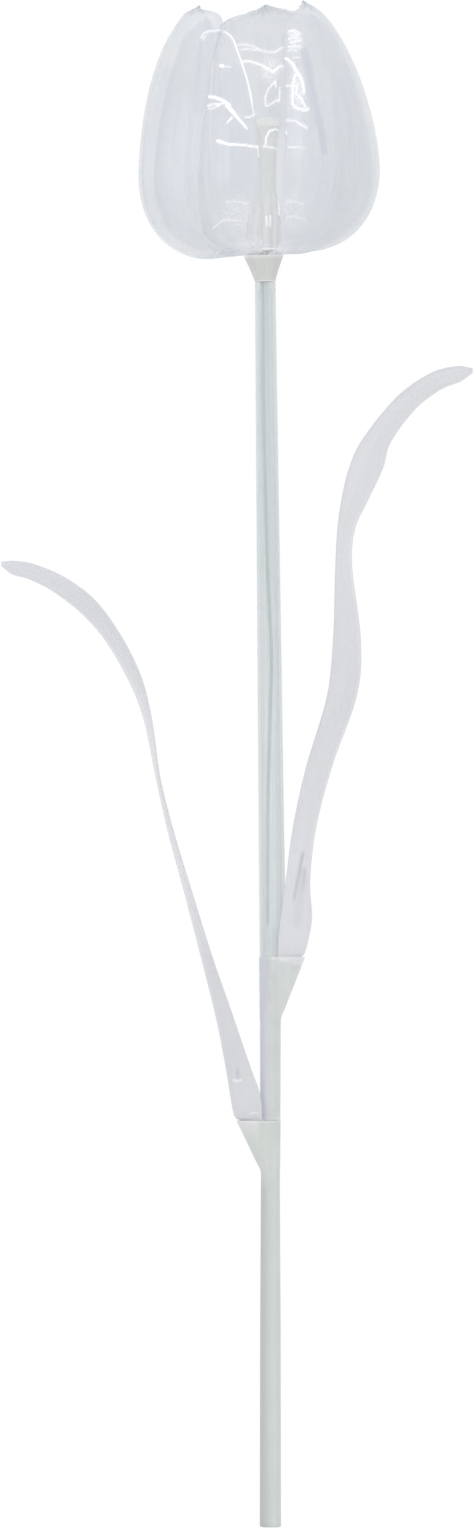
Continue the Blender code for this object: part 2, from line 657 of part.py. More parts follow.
def add_pistil(material):
    foot = RECEPTACLE_HEIGHT + 2 * GAP + PETAL_WALL
    top = foot + PISTIL_HEIGHT
    outline = [
        (PISTIL_STALK_RADIUS, top - LOBE_RADIUS * 1.3),
        (PISTIL_STALK_RADIUS * 0.94, (top + foot + PISTIL_STALK_START) / 2),
        (PISTIL_STALK_RADIUS, foot + PISTIL_STALK_START),
        (
            (PISTIL_STALK_RADIUS + PISTIL_FOOT_RADIUS) / 2,
            foot + (PISTIL_FOOT_HEIGHT + PISTIL_STALK_START) / 2,
        ),
        (PISTIL_FOOT_RADIUS * 0.95, foot + PISTIL_FOOT_HEIGHT),
        (PISTIL_FOOT_RADIUS, foot + PISTIL_FOOT_HEIGHT / 2),
        (PISTIL_FOOT_RADIUS, foot),
        (PEG_RADIUS, foot),
        (PEG_RADIUS, foot - 2 * GAP - PETAL_WALL - PEG_LENGTH),
    ]
    core = add_cutter("pistil_core", profile_mesh("pistil_core", capped(outline), False), HEAD_FRAME)
    spin(core)
    turned = core.evaluated_get(bpy.context.evaluated_depsgraph_get())
    solid = bmesh.new()
    solid.from_mesh(bpy.data.meshes.new_from_object(turned))
    bmesh.ops.remove_doubles(solid, verts=solid.verts[:], dist=0.00001)
    mesh = bpy.data.meshes.new("pistil")
    solid.to_mesh(mesh)
    solid.free()
    bpy.data.objects.remove(core)
    pistil = add_piece("pistil", mesh, material, HEAD_FRAME)
    for turn in (90, 210, 330):
        lobe = bmesh.new()
        place = Matrix.Translation(
            (
                LOBE_SPREAD * math.cos(math.radians(turn)),
                LOBE_SPREAD * math.sin(math.radians(turn)),
                top - LOBE_RADIUS,
            )
        )
        bmesh.ops.create_uvsphere(lobe, u_segments=16, v_segments=10, radius=LOBE_RADIUS, matrix=place)
        lobe_mesh = bpy.data.meshes.new(f"pistil_lobe_{turn}")
        lobe.to_mesh(lobe_mesh)
        lobe.free()
        combine(pistil, add_cutter(f"pistil_lobe_{turn}", lobe_mesh, HEAD_FRAME), "UNION")
        lean_over(lobe_mesh, foot)
    lean_over(mesh, foot)
    shade_round(mesh)
    return pistil


def lean_over(mesh, foot):
    """Bends what stands above the pistil's foot to the right, more the higher it is."""
    for corner in mesh.vertices:
        above = max(corner.co.z - foot - PISTIL_BEND_START, 0)
        corner.co.x += PISTIL_LEAN_RATIO * above * min(above / PISTIL_BEND_HEIGHT, 1)


def main():
    clear = plastic("clear_plastic", (0.86, 0.88, 0.9), 0.08, 0.9)
    translucent = plastic("translucent_plastic", (0.8, 0.83, 0.83), 0.25, 0.6)
    milky = plastic("milky_plastic", (0.78, 0.8, 0.78), 0.35, 0.2)
    wire = steel("wire_steel")
    lower_stem = add_lower_stem(milky)
    middle_stem = add_middle_stem(translucent)
    add_upper_stem(clear)
    add_wires(wire)
    add_leaves(lower_stem, middle_stem, clear)
    add_receptacle(milky)
    add_petals(clear)
    add_pistil(milky)


main()
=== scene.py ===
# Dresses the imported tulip: clear moulded petals and leaves, and a plug-together stem with wires inside.
# Sizes are in millimetres in each piece's dictionary, and in metres in the meshes.
import math

import bpy
import numpy as np
from mathutils import Matrix, Vector


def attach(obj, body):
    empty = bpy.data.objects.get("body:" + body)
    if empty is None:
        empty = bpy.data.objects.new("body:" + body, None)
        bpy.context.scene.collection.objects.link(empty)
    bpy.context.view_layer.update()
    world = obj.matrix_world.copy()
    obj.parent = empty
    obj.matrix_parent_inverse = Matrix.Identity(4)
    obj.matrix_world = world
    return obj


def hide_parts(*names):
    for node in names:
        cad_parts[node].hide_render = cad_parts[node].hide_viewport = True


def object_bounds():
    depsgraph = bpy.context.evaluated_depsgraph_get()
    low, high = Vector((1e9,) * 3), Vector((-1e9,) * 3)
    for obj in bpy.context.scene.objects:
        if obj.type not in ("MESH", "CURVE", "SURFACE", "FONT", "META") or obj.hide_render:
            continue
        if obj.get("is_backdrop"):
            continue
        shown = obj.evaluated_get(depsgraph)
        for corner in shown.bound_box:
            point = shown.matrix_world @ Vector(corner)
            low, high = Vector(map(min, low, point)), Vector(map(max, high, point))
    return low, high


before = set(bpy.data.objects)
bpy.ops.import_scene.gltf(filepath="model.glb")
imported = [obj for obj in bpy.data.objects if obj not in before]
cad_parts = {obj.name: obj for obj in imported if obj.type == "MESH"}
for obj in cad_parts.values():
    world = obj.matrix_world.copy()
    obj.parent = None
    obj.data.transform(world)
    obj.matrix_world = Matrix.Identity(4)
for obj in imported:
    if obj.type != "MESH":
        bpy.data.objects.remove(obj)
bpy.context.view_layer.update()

mm = 0.001
print("frame loaded:", len(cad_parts), "nodes")


# Small tools

def linear(code):
    # an sRGB hex colour as the linear colour that shaders work in
    parts = [int(code[i:i + 2], 16) / 255 for i in (1, 3, 5)]
    return tuple(c / 12.92 if c <= 0.04045 else ((c + 0.055) / 1.055) ** 2.4 for c in parts) + (1,)


def addNode(tree, kind, settings=None, **links):
    # one shader node with its settings and links; a link is named after its socket, or in0, in1 for its number, and
    # comes from a socket or a node's first output, or is None and left out
    node = tree.nodes.new("ShaderNode" + kind)
    for name, value in (settings or {}).items():
        if isinstance(name, str) and hasattr(node, name):
            setattr(node, name, value)
        else:
            node.inputs[name].default_value = value
    for name, source in links.items():
        if source is not None:
            socket = node.inputs[int(name[2:]) if name[2:].isdigit() else name.replace("_", " ")]
            tree.links.new(source.outputs[0] if isinstance(source, bpy.types.Node) else source, socket)
    return node


def emptyTree(owner):
    # the cleared node tree of a material or a world
    owner.use_nodes = True
    owner.node_tree.nodes.clear()
    return owner.node_tree


def smoothRows(rows, places):
    # rows of numbers on the smooth curve through the given rows; a place counts from row to row
    knots = np.array(rows, dtype=float)
    padded = np.vstack([2 * knots[0] - knots[1], knots, 2 * knots[-1] - knots[-2]])
    first = np.clip(np.floor(places).astype(int), 0, len(knots) - 2)
    t = (places - first)[..., None]
    a, b, c, d = (padded[first + k] for k in range(4))
    bend = (2 * a - 5 * b + 4 * c - d) * t**2 + (3 * b - a - 3 * c + d) * t**3
    return b + 0.5 * ((c - a) * t + bend)


def rise(value, low, high):
    # 0 below low, 1 above high, and a smooth rise between them
    t = np.clip((value - low) / (high - low), 0, 1)
    return t * t * (3 - 2 * t)


def lineDistance(x, z, line):
    # distance of each point (x, z) from a bent line, and how far along the line its nearest place is
    near, along = np.full(x.shape, 1e9), np.zeros(x.shape)
    for i, ((x0, z0), (x1, z1)) in enumerate(zip(line[:-1], line[1:])):
        dx, dz = x1 - x0, z1 - z0
        t = np.clip(((x - x0) * dx + (z - z0) * dz) / (dx * dx + dz * dz), 0, 1)
        apart = np.hypot(x - x0 - t * dx, z - z0 - t * dz)
        along = np.where(apart < near, (i + t) / (len(line) - 1), along)
        near = np.minimum(near, apart)
    return near, along


def drawn(front, strokes):
    # how strong each point of a front view is in these strokes, each a bent line of x and z, its widths at both ends
    # and its strength: full near the line, and gone a little past its half width
    strength = np.zeros(front.shape[:-1])
    for line, firstWidth, lastWidth, most in strokes:
        apart, place = lineDistance(front[..., 0], front[..., 2], np.reshape(line, (-1, 2)))
        half = (firstWidth + (lastWidth - firstWidth) * place) / 2
        strength = np.maximum(strength, most * (1 - rise(apart, 0.4 * half, 1.3 * half + 0.12)))
    return strength


def patches(front, spots):
    # the sum of soft oval patches of a front view, each with its middle, half width and height, and strength
    total = np.zeros(front.shape[:-1])
    for (x, z), (wide, tall), most in spots:
        total += most * np.exp(-(((front[..., 0] - x) / wide) ** 2 + ((front[..., 2] - z) / tall) ** 2) ** 2)
    return np.minimum(total, 1)


# Frames of the stem's sections, as in the CAD: each stands on the one below, leaning to -X by some degrees more
joints = {
    "middle": {"below": "tulip", "place": (0, 0, 133.5), "lean": 0},
    "upper": {"below": "middle", "place": (0.8, 0, 53.7), "lean": 0.65},
    "head": {"below": "upper", "place": (0, 0, 221.3), "lean": 2.45},
}
stemFrames = {"tulip": Matrix.Identity(4)}
for name, joint in joints.items():
    lean = Matrix.Rotation(math.radians(-joint["lean"]), 4, "Y")
    stemFrames[name] = stemFrames[joint["below"]] @ Matrix.Translation(Vector(joint["place"])) @ lean


def placed(points, where):
    # millimetres of a section's own frame as millimetres of the whole tulip
    matrix = np.array(stemFrames[where])
    return points @ matrix[:3, :3].T + matrix[:3, 3]


def looksInwards(points, faces):
    # a closed mesh whose faces look inwards has a negative volume
    fans = np.array([[face[0], face[k], face[k + 1]] for face in faces for k in range(1, len(face) - 1)])
    first, second, third = (points[fans[:, k]] for k in range(3))
    return np.einsum("ij,ij->", first, np.cross(second, third)) < 0


def addPiece(name, kind, points, faces, maps, fields, material, body, sharp):
    # a closed piece at the origin that stands for the CAD node of its name: points in millimetres, faces of 3 or 4
    # points, a map place in millimetres for each face corner, and numbers for each point that its material reads;
    # edges that turn by more degrees than sharp stay sharp
    faces, maps = [list(map(int, face)) for face in faces], [np.asarray(m, float) for m in maps]
    if looksInwards(points, faces):
        faces, maps = [face[::-1] for face in faces], [m[::-1] for m in maps]
    mesh = bpy.data.meshes.new(name)
    mesh.from_pydata(points * mm, [], faces)
    layer = mesh.uv_layers.new(name="surface")
    layer.data.foreach_set("uv", (np.concatenate(maps) * mm).astype(np.float32).ravel())
    for field, values in fields.items():
        attribute = mesh.attributes.new(field, "FLOAT", "POINT")
        attribute.data.foreach_set("value", np.ravel(values).astype(np.float32))
    mesh.shade_smooth()
    mesh.set_sharp_from_angle(angle=math.radians(sharp))
    mesh.materials.append(material)
    piece = bpy.data.objects.new(f"{name}_{kind}", mesh)
    bpy.context.scene.collection.objects.link(piece)
    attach(piece, body)
    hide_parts(name)
    print(f"{name}: {len(points)} points, {len(faces)} faces")


def gridCorners(rows, columns, closeRows=False, closeColumns=False):
    # row and column numbers of each face's four corners; a closed way runs on past its last number
    r, c = np.meshgrid(np.arange(rows - (not closeRows)), np.arange(columns - (not closeColumns)), indexing="ij")
    r, c = r.ravel(), c.ravel()
    return np.stack([r, r, r + 1, r + 1], 1), np.stack([c, c + 1, c + 1, c], 1)


def normals(grid):
    # a surface's unit normals: the cross product of its steps across and along
    normal = np.cross(np.gradient(grid, axis=1), np.gradient(grid, axis=0))
    return normal / np.maximum(np.linalg.norm(normal, axis=2, keepdims=True), 1e-9)


def widths(grid):
    # how far each point of a surface is from its middle column, measured along its row
    wide = np.cumsum(np.pad(np.linalg.norm(np.diff(grid, axis=1), axis=2), ((0, 0), (1, 0))), 1)
    middle = grid.shape[1] // 2
    return wide - wide[:, middle:middle + 1]


def edgeDistance(wide, along, length):
    # how far each point of a surface is from the nearest side edge or from the tip
    return np.minimum(np.minimum(np.abs(wide[:, -1:] - wide), np.abs(wide - wide[:, :1])), length - along)


def addShell(name, outer, thickness, wide, along, marks, material, where, body):
    # a thin wall: the given grid is its outer face, its inner face lies one thickness back along the normal, and a
    # strip closes the rim; both faces have the same marks
    inner = outer - normals(outer) * thickness[..., None]
    rows, columns = outer.shape[:2]
    count = rows * columns
    r, c = gridCorners(rows, columns)
    outside = r * columns + c
    grid = np.arange(count).reshape(rows, columns)
    edge = np.concatenate([grid[0], grid[1:, -1], grid[-1, -2::-1], grid[-2:0:-1, 0]])
    after = np.roll(edge, -1)
    strip = np.stack([after, edge, edge + count, after + count], 1)
    faces = np.vstack([outside, outside[:, ::-1] + count, strip])
    spots = np.stack([np.tile(wide.ravel(), 2), np.tile(along.ravel(), 2)], 1)
    points = placed(np.vstack([outer.reshape(-1, 3), inner.reshape(-1, 3)]), where)
    fields = {mark: np.tile(field.ravel(), 2) for mark, field in marks.items()}
    addPiece(name, "moulding", points, faces, spots[faces], fields, material, body, 50)


def rings(outline, columns):
    # (radius, height) pairs as rows that are the same at every angle
    return np.array(outline, dtype=float)[:, :, None] + np.zeros(columns)


def turnedMesh(rows, closed, shift=0):
    # a surface turned round the Z axis from rows of radius and height, with a number for every angle, each row moved
    # sideways by its shift; the rows close on themselves, or onto the axis at both ends
    radius, height = rows[:, 0], rows[:, 1]
    count, columns = radius.shape
    angle = np.linspace(0, 2 * math.pi, columns, endpoint=False)
    sideways = np.reshape(shift, (-1, 1)) + radius * np.cos(angle)
    points = np.stack([sideways, radius * np.sin(angle), height], 2)
    middle = points.mean(1)
    steps = np.linalg.norm(np.diff(rows.mean(2), axis=0), axis=1)
    along = np.concatenate([[0], np.cumsum(steps), [steps.sum() + 0.01]])
    r, c = gridCorners(count, columns, closed, True)
    faces = list((r % count) * columns + c % columns)
    girth = 2 * math.pi * np.median(radius)
    maps = list(np.stack([c * girth / columns, along[r]], 2))
    points = points.reshape(-1, 3)
    if not closed:
        points = np.vstack([points, middle[:1], middle[-1:]])
        k = np.arange(columns)
        for centre, row, order in ((count * columns, 0, 1), (count * columns + 1, count - 1, -1)):
            ring = np.stack([row * columns + (k + 1) % columns, row * columns + k], 1)[:, ::order]
            faces += [[centre, *pair] for pair in ring]
            turn = np.stack([k + 1, k], 1)[:, ::order] * girth / columns
            maps += [[(pair.mean(), along[row]), (pair[0], along[row]), (pair[1], along[row])] for pair in turn]
    return points, faces, maps


# Materials: moulded plastics and a drawn wire, with colours as sRGB and pattern sizes in millimetres

def rayShare(tree, *kinds):
    # 1 for rays of these kinds and 0 for the rest
    rays = addNode(tree, "LightPath")
    share = rays.outputs[kinds[0]]
    for kind in kinds[1:]:
        share = addNode(tree, "Math", {"operation": "MAXIMUM"}, in0=share, in1=rays.outputs[kind])
    return share


def mouldedPlastic(name, look):
    # its colour goes from the tone to each part's own tone, by that part's strength: in soft clouds, in streaks along
    # the way the plastic flowed into its mould, and where the piece's own fields say so; its alpha is the share of
    # what lies behind that it hides, more where it is seen edge-on
    look = {**polyethylene, **look}
    material = bpy.data.materials.new(name)
    tree = emptyTree(material)
    place = addNode(tree, "TexCoord").outputs["Object"]
    surface = addNode(tree, "UVMap", {"uv_map": "surface"})
    flow = addNode(tree, "Mapping", {"Scale": (1, look["streakShape"], 1)}, Vector=surface)
    shares = {"edgeOn": addNode(tree, "LayerWeight", {"Blend": look["edgeBlend"]}).outputs["Facing"]}
    for part, source, low, high in (
        ("clouds", place, 0.38, 0.62), ("streaks", flow, 0.42, 0.7), ("grain", place, 0.3, 0.7)
    ):
        noise = addNode(tree, "TexNoise", {"Scale": 1 / (look[part] * mm), "Detail": 3}, Vector=source)
        shares[part] = addNode(tree, "MapRange", {"From Min": low, "From Max": high}, Value=noise)
    for part in look["tones"]:
        if part not in shares:
            shares[part] = addNode(tree, "Attribute", {"attribute_name": part}).outputs["Fac"]
    if "crinkleGlint" in look:
        # wrinkles run where a noise passes its middle value; they are bumped, and their pale tone is a painted
        # highlight
        pattern = {"Scale": 1 / (look["crinkleGlint"] * mm), "Detail": 2, "Distortion": 0.6}
        noise = addNode(tree, "TexNoise", pattern, Vector=place)
        middle = addNode(tree, "Math", {"operation": "SUBTRACT", 1: 0.5}, in0=noise)
        apart = addNode(tree, "Math", {"operation": "ABSOLUTE"}, in0=middle)
        fade = {"From Min": 0.008, "From Max": look["crinkleWidth"], "To Min": 1, "To Max": 0}
        lines = addNode(tree, "MapRange", fade, Value=apart)
        shares["crinkleGlint"] = addNode(tree, "Math", {"operation": "MULTIPLY"}, in0=lines, in1=shares["crinkleGlint"])
    colour = alpha = rough = bumps = None
    for part, (tone, strength) in look["tones"].items():
        share = addNode(tree, "Math", {"operation": "MULTIPLY", 1: strength}, in0=shares[part])
        ends = {"data_type": "RGBA", 6: linear(look["tone"]), 7: linear(tone)}
        colour = addNode(tree, "Mix", ends, in0=share, in6=colour).outputs[2]
    adding = {"operation": "MULTIPLY_ADD", "use_clamp": True}
    for part, amount in look["hides"].items():
        alpha = addNode(tree, "Math", {**adding, 1: amount, 2: look["alpha"]}, in0=shares[part], in2=alpha)
    for part, amount in look["dulls"].items():
        rough = addNode(tree, "Math", {**adding, 1: amount, 2: look["roughness"]}, in0=shares[part], in2=rough)
    for part, height in look["bumps"].items():
        bumps = addNode(tree, "Bump", {"Distance": height * mm, "Strength": 1}, Height=shares[part], Normal=bumps)
    if alpha is not None:
        # clear plastic blurs what is behind it but keeps little of the light that lands on it
        lit = rayShare(tree, "Is Shadow Ray", "Is Diffuse Ray")
        kept = addNode(tree, "MapRange", {"To Min": 1, "To Max": look["shade"]}, Value=lit)
        alpha = addNode(tree, "Math", {"operation": "MULTIPLY"}, in0=alpha, in1=kept)
    shader = addNode(
        tree, "BsdfPrincipled", {"IOR": look["ior"], "Specular IOR Level": look["gloss"]},
        Base_Color=colour, Roughness=rough, Normal=bumps, Alpha=alpha,
    )
    addNode(tree, "OutputMaterial", Surface=shader)
    return material


def drawnSteel(name, look):
    # lengthwise die marks in its roughness and bump, and a few darker spots
    material = bpy.data.materials.new(name)
    tree = emptyTree(material)
    surface = addNode(tree, "UVMap", {"uv_map": "surface"})
    flow = addNode(tree, "Mapping", {"Scale": (1, look["markShape"], 1)}, Vector=surface)
    marks = addNode(tree, "TexNoise", {"Scale": 1 / (look["marks"] * mm), "Detail": 3}, Vector=flow)
    spots = addNode(tree, "TexNoise", {"Scale": 1 / (look["spots"] * mm), "Detail": 2}, Vector=surface)
    ends = {"data_type": "RGBA", 6: linear(look["tone"]), 7: linear(look["spotTone"])}
    colour = addNode(tree, "Mix", ends, in0=spots).outputs[2]
    smooth, dull = look["roughness"]
    rough = addNode(tree, "MapRange", {"To Min": smooth, "To Max": dull}, Value=marks)
    bump = addNode(tree, "Bump", {"Distance": look["markDepth"] * mm}, Height=marks)
    shader = addNode(tree, "BsdfPrincipled", {"Metallic": 1}, Base_Color=colour, Roughness=rough, Normal=bump)
    addNode(tree, "OutputMaterial", Surface=shader)
    return material


# Polyethylene, moulded, and what the other plastics have in common with it. A tone comes with its strength.
polyethylene = {
    "ior": 1.5, "gloss": 0.35, "edgeBlend": 0.3, "grain": 0.7, "alpha": 1, "hides": {}, "roughness": 0.34,
    "dulls": {"grain": 0.12}, "bumps": {"grain": 0.02, "streaks": 0.03},
}
# Soft clear PVC, injection moulded and glossy: what lies behind it shows as a pale blue-grey haze, it carries painted
# highlights along sharp creases and fine wrinkles, and it looks denser where it is seen edge-on
petalLook = {
    "shade": 0.18, "ior": 1.53, "gloss": 0.2, "edgeBlend": 0.25, "tone": "#ccd0d6",
    # painted light and shade in these tones: the feet are painted paler where they lie in shade in the cup, folds get
    # painted shade, and crinkles and creases get painted highlights
    "tones": {
        "clouds": ("#d0d3d7", 1), "streaks": ("#c5cad1", 0.4), "thin": ("#d0d2d6", 1), "feet": ("#e2e4ea", 1),
        "foldShade": ("#adb4c3", 0.5), "rim": ("#aeb5c0", 0.38), "crinkleGlint": ("#f2f4f8", 0.8), "glintLine": ("#fdfdff", 1),
    },
    "clouds": 14, "streaks": 1.6, "streakShape": 0.05, "grain": 2.2, "crinkleGlint": 1.3, "crinkleWidth": 0.12,
    "alpha": 0.44, "hides": {
        "streaks": 0.04, "edgeOn": 0.42, "foldShade": 0.12, "thin": -0.26, "rim": 0.1, "crinkleGlint": 0.3, "glintLine": 0.5,
    },
    "roughness": 0.12, "dulls": {"grain": 0.08}, "bumps": {"grain": 0.02, "streaks": 0.02, "crinkleGlint": 0.05},
}
petalFinish = mouldedPlastic("clear_moulded_pvc", petalLook)
# the left petal hides a little less, and is painted paler, most of all low down, as painted light on its shaded side
leftTones = {**petalLook["tones"], "thin": ("#e1e4e9", 1)}
leftFinish = mouldedPlastic("clear_moulded_pvc_left", {**petalLook, "alpha": 0.41, "tones": leftTones})
# on the petal at the back the painted highlights along creases and crinkles are clearer instead, so the white behind
# shows through them
backHides = {"streaks": 0.04, "edgeOn": 0.42, "foldShade": 0.12, "rim": 0.1, "crinkleGlint": -0.3, "glintLine": -0.42}
backFinish = mouldedPlastic("clear_moulded_pvc_back", {**petalLook, "hides": backHides})
# the same plastic in the leaves, a touch greyer and more even, with its veins moulded in, painted shade along folds
# and towards the tip, and painted highlights in a few short arcs
leafFinish = mouldedPlastic("clear_moulded_pvc_leaf", {
    "shade": 0.3, "ior": 1.53, "gloss": 0.2, "tone": "#d1d2d6", "tones": {
        "clouds": ("#d4d5d8", 1), "streaks": ("#cacbd0", 0.5), "base": ("#d9dadf", 0.7), "upper": ("#d5d6da", 1),
        "tip": ("#c1c2c7", 0.6), "rim": ("#c8cad1", 0.6), "foldShade": ("#b2b5be", 0.9), "glintLine": ("#f3f4f8", 1),
    },
    "clouds": 18, "streaks": 1.4, "streakShape": 0.04, "grain": 2, "alpha": 0.66,
    "hides": {"streaks": 0.04, "upper": 0.15, "edgeOn": 0.2, "rim": 0.1, "foldShade": 0.2, "glintLine": 0.25},
    "roughness": 0.16, "dulls": {"grain": 0.1}, "bumps": {"grain": 0.015, "streaks": 0.02},
})
# extruded clear tube: smooth and glossy, with straight die lines, slightly green in its thickness
tubeFinish = mouldedPlastic("clear_extruded_tube", {
    "shade": 0.3, "ior": 1.52, "gloss": 0.3, "tone": "#d0d6d8",
    "tones": {"clouds": ("#d3d9db", 1), "streaks": ("#c7cecf", 0.6), "haze": ("#b9c1c3", 0.55)},
    "clouds": 22, "streaks": 0.9, "streakShape": 0.01, "grain": 1.6,
    "alpha": 0.4, "hides": {"streaks": 0.1, "edgeOn": 0.25, "haze": 0.08},
    "roughness": 0.12, "dulls": {"grain": 0.08}, "bumps": {"streaks": 0.02, "grain": 0.01},
})
# polyethylene with little pigment: light passes, shapes behind it blur, satin; its shaded lip gets painted light and
# its lip's front edge painted highlights
socketFinish = mouldedPlastic("translucent_polyethylene", {
    "shade": 0.5, "tone": "#cdd1d0", "tones": {
        "clouds": ("#d1d4d4", 1), "streaks": ("#c5cac9", 0.4), "band": ("#c5c9d6", 0.7), "mouth": ("#dadce2", 0.9),
        "lip": ("#f4f6f5", 0.8), "glintLine": ("#eceeef", 0.5),
    },
    "clouds": 9, "streaks": 0.9, "streakShape": 0.04, "grain": 0.8,
    "alpha": 0.66, "hides": {"streaks": 0.05, "edgeOn": 0.1, "band": 0.2, "mouth": -0.1, "glintLine": 0.1},
    "roughness": 0.28,
})
# polyethylene with white pigment: milky, satin, faintly streaked along its length, with painted shade down one side
# and painted light on its shaded lip
milkyFinish = mouldedPlastic("milky_polyethylene", {
    "gloss": 0.4, "tone": "#c4c9c6", "tones": {
        "clouds": ("#c8ccca", 1), "streaks": ("#bbc1be", 0.4), "band": ("#a8aead", 0.7), "mouth": ("#d1cfd3", 0.9),
        "lip": ("#f4f6f5", 0.8),
    },
    "clouds": 10, "streaks": 0.8, "streakShape": 0.03,
})
# the same in the flower's cup, a little greyer in its thicker wall, with painted light on its top edge and underside,
# where shade falls
cupFinish = mouldedPlastic("milky_polyethylene_cup", {
    "tone": "#c5c7c5", "tones": {"clouds": ("#c9cac8", 1), "streaks": ("#bcbfbd", 0.5), "rim": ("#e6e8e7", 1)},
    "clouds": 8, "streaks": 0.8, "streakShape": 0.05,
})
# softer and clearer polyethylene in the pistil: pale green-grey, blurred, with painted highlights on its cap and
# stalk and painted light in its shaded flute valleys and along its foot's bottom edge
pistilFinish = mouldedPlastic("translucent_moulded_pistil", {
    "shade": 0.6, "gloss": 0.2, "tone": "#d0d4d4", "tones": {
        "clouds": ("#d3d5d3", 1), "streaks": ("#ccd0d1", 0.4), "cap": ("#dbdedb", 1), "foot": ("#d0d0d4", 0.8),
        "rim": ("#eef0ee", 1), "glintLine": ("#fcfdfb", 1),
    },
    "clouds": 7, "streaks": 1, "streakShape": 0.05, "grain": 0.8,
    "alpha": 0.46, "hides": {"edgeOn": 0.04, "foot": 0.24, "glintLine": 0.6, "rim": 0.1, "cap": 0.15},
    "roughness": 0.3, "bumps": {"grain": 0.008, "streaks": 0.01},
})
# dull zinc-coated steel wire, dark through the clear stem
wireFinish = drawnSteel("zinc_coated_wire", {
    "tone": "#9aa1aa", "spotTone": "#7f8790", "roughness": (0.42, 0.6),
    "marks": 0.08, "markShape": 0.05, "markDepth": 0.01, "spots": 1.5,
})
print("materials made:", len(bpy.data.materials))


# Stem sections: turned surfaces, with a leaf's cup swelling out on one side. A section's body is its radius at some
# heights, and its foot and inside are outlines of (radius, height).

stem = {
    "columns": 96, "gap": 0.3, "leafWall": 0.8, "cupWall": 0.9, "coreRadius": 3.45, "blend": 0.25,
    "cupRows": 26, "lipRows": 6, "lipRound": 0.14, "recess": 0.16, "slotDepths": (1.8, 3.6, 5.3),
}
lowerSection = {
    "where": "tulip", "closed": False, "spacing": 4, "body": ((0, 66.6, 113, 133.2), (3.5, 3.37, 3.12, 3.22)),
    "foot": [(0.3, 0), (3.1, 0), (3.35, 0.08), (3.5, 0.3)], "footRows": (2, 113, 75),
    "side": -1, "mouth": 133.2, "height": 17, "low": 114, "reach": 11.2, "core": 3.12, "leafCore": 3.28, "edge": 2.8,
    "inside": [(3.05, 133.2), (2.6, 133.2), (2.6, 120.6), (0.9, 120.6), (0.9, 3), (0.2, 3)],
}
middleSection = {
    "where": "middle", "closed": True, "spacing": 2, "body": ((0, 53.4), (3.28, 3.5)), "holds": "upper",
    "foot": [(1.7, -12), (2.2, -12), (2.3, -11.8), (2.3, -0.28), (2.4, -0.24), (3.23, -0.24), (3.28, -0.2)],
    "footRows": (1.5, 30, 20),
    "side": 1, "mouth": 53.4, "height": 20.5, "low": 30.7, "reach": 11.45, "core": 3.5, "leafCore": 4.27, "edge": 2.5,
    "inside": [(3.1, 53.4), (3.1, 62.9), (2.95, 63.1), (2.65, 63.1), (2.65, 50), (2.6, 49), (2.6, 2.5), (1.7, -2.5)],
}
ringAngles = np.linspace(0, 2 * math.pi, stem["columns"], endpoint=False)


def cupRadius(cup, height):
    # polar radius of the cup at a height: an ellipse whose far side runs from the stem out to its reach, and whose
    # depth grows as a quarter sine, so it is round at its bottom and oval at its mouth
    share = np.clip((height - cup["mouth"] + cup["height"]) / cup["height"], 0, 1)
    start = cup["core"] - 0.15
    halfDepth = cup["leafCore"] + stem["leafWall"] + 2 * stem["gap"] + stem["cupWall"]
    far, near = start + (cup["reach"] - start) * share, start + 0.3 * share
    deep = start + (halfDepth - start) * np.sin(share * math.pi / 2)
    middle, wide = cup["side"] * (far - near) / 2, (far + near) / 2
    c, s = np.cos(ringAngles), np.sin(ringAngles)
    across = c * c / wide**2 + s * s / deep**2
    half = middle * c / wide**2
    return (half + np.sqrt(np.maximum(half**2 - across * (middle**2 / wide**2 - 1), 0))) / across


def swollen(cup, height):
    # the greater of the section's own radius and its cup's, rounded over where they are alike
    a, b = np.interp(height, *cup["body"]), cupRadius(cup, height)
    return 0.5 * (a + b + np.sqrt((a - b) ** 2 + stem["blend"]**2))


def slotRadius(cup, below, offset):
    # polar radius of the leaf foot's slot wall, and the angles that it spans: the foot's channel is a parabola,
    # moved in by the cup's slope at that depth and offset along its own normal
    slope = (cup["reach"] - cup["core"]) / cup["height"]
    t = np.linspace(-1, 1, 241)
    rib = cup["reach"] - stem["cupWall"] - stem["gap"]
    x = rib + (cup["edge"] - rib) * t**2 - below * slope
    y = (cup["leafCore"] + stem["gap"] + stem["leafWall"]) * t
    dx, dy = np.gradient(x), np.gradient(y)
    size = np.hypot(dx, dy)
    x, y = x + offset * dy / size, y - offset * dx / size
    turn = np.arctan2(y, x)
    away = np.arctan2(np.sin(ringAngles), cup["side"] * np.cos(ringAngles))
    return np.interp(away, turn, np.hypot(x, y)), np.abs(away) < turn[-1]


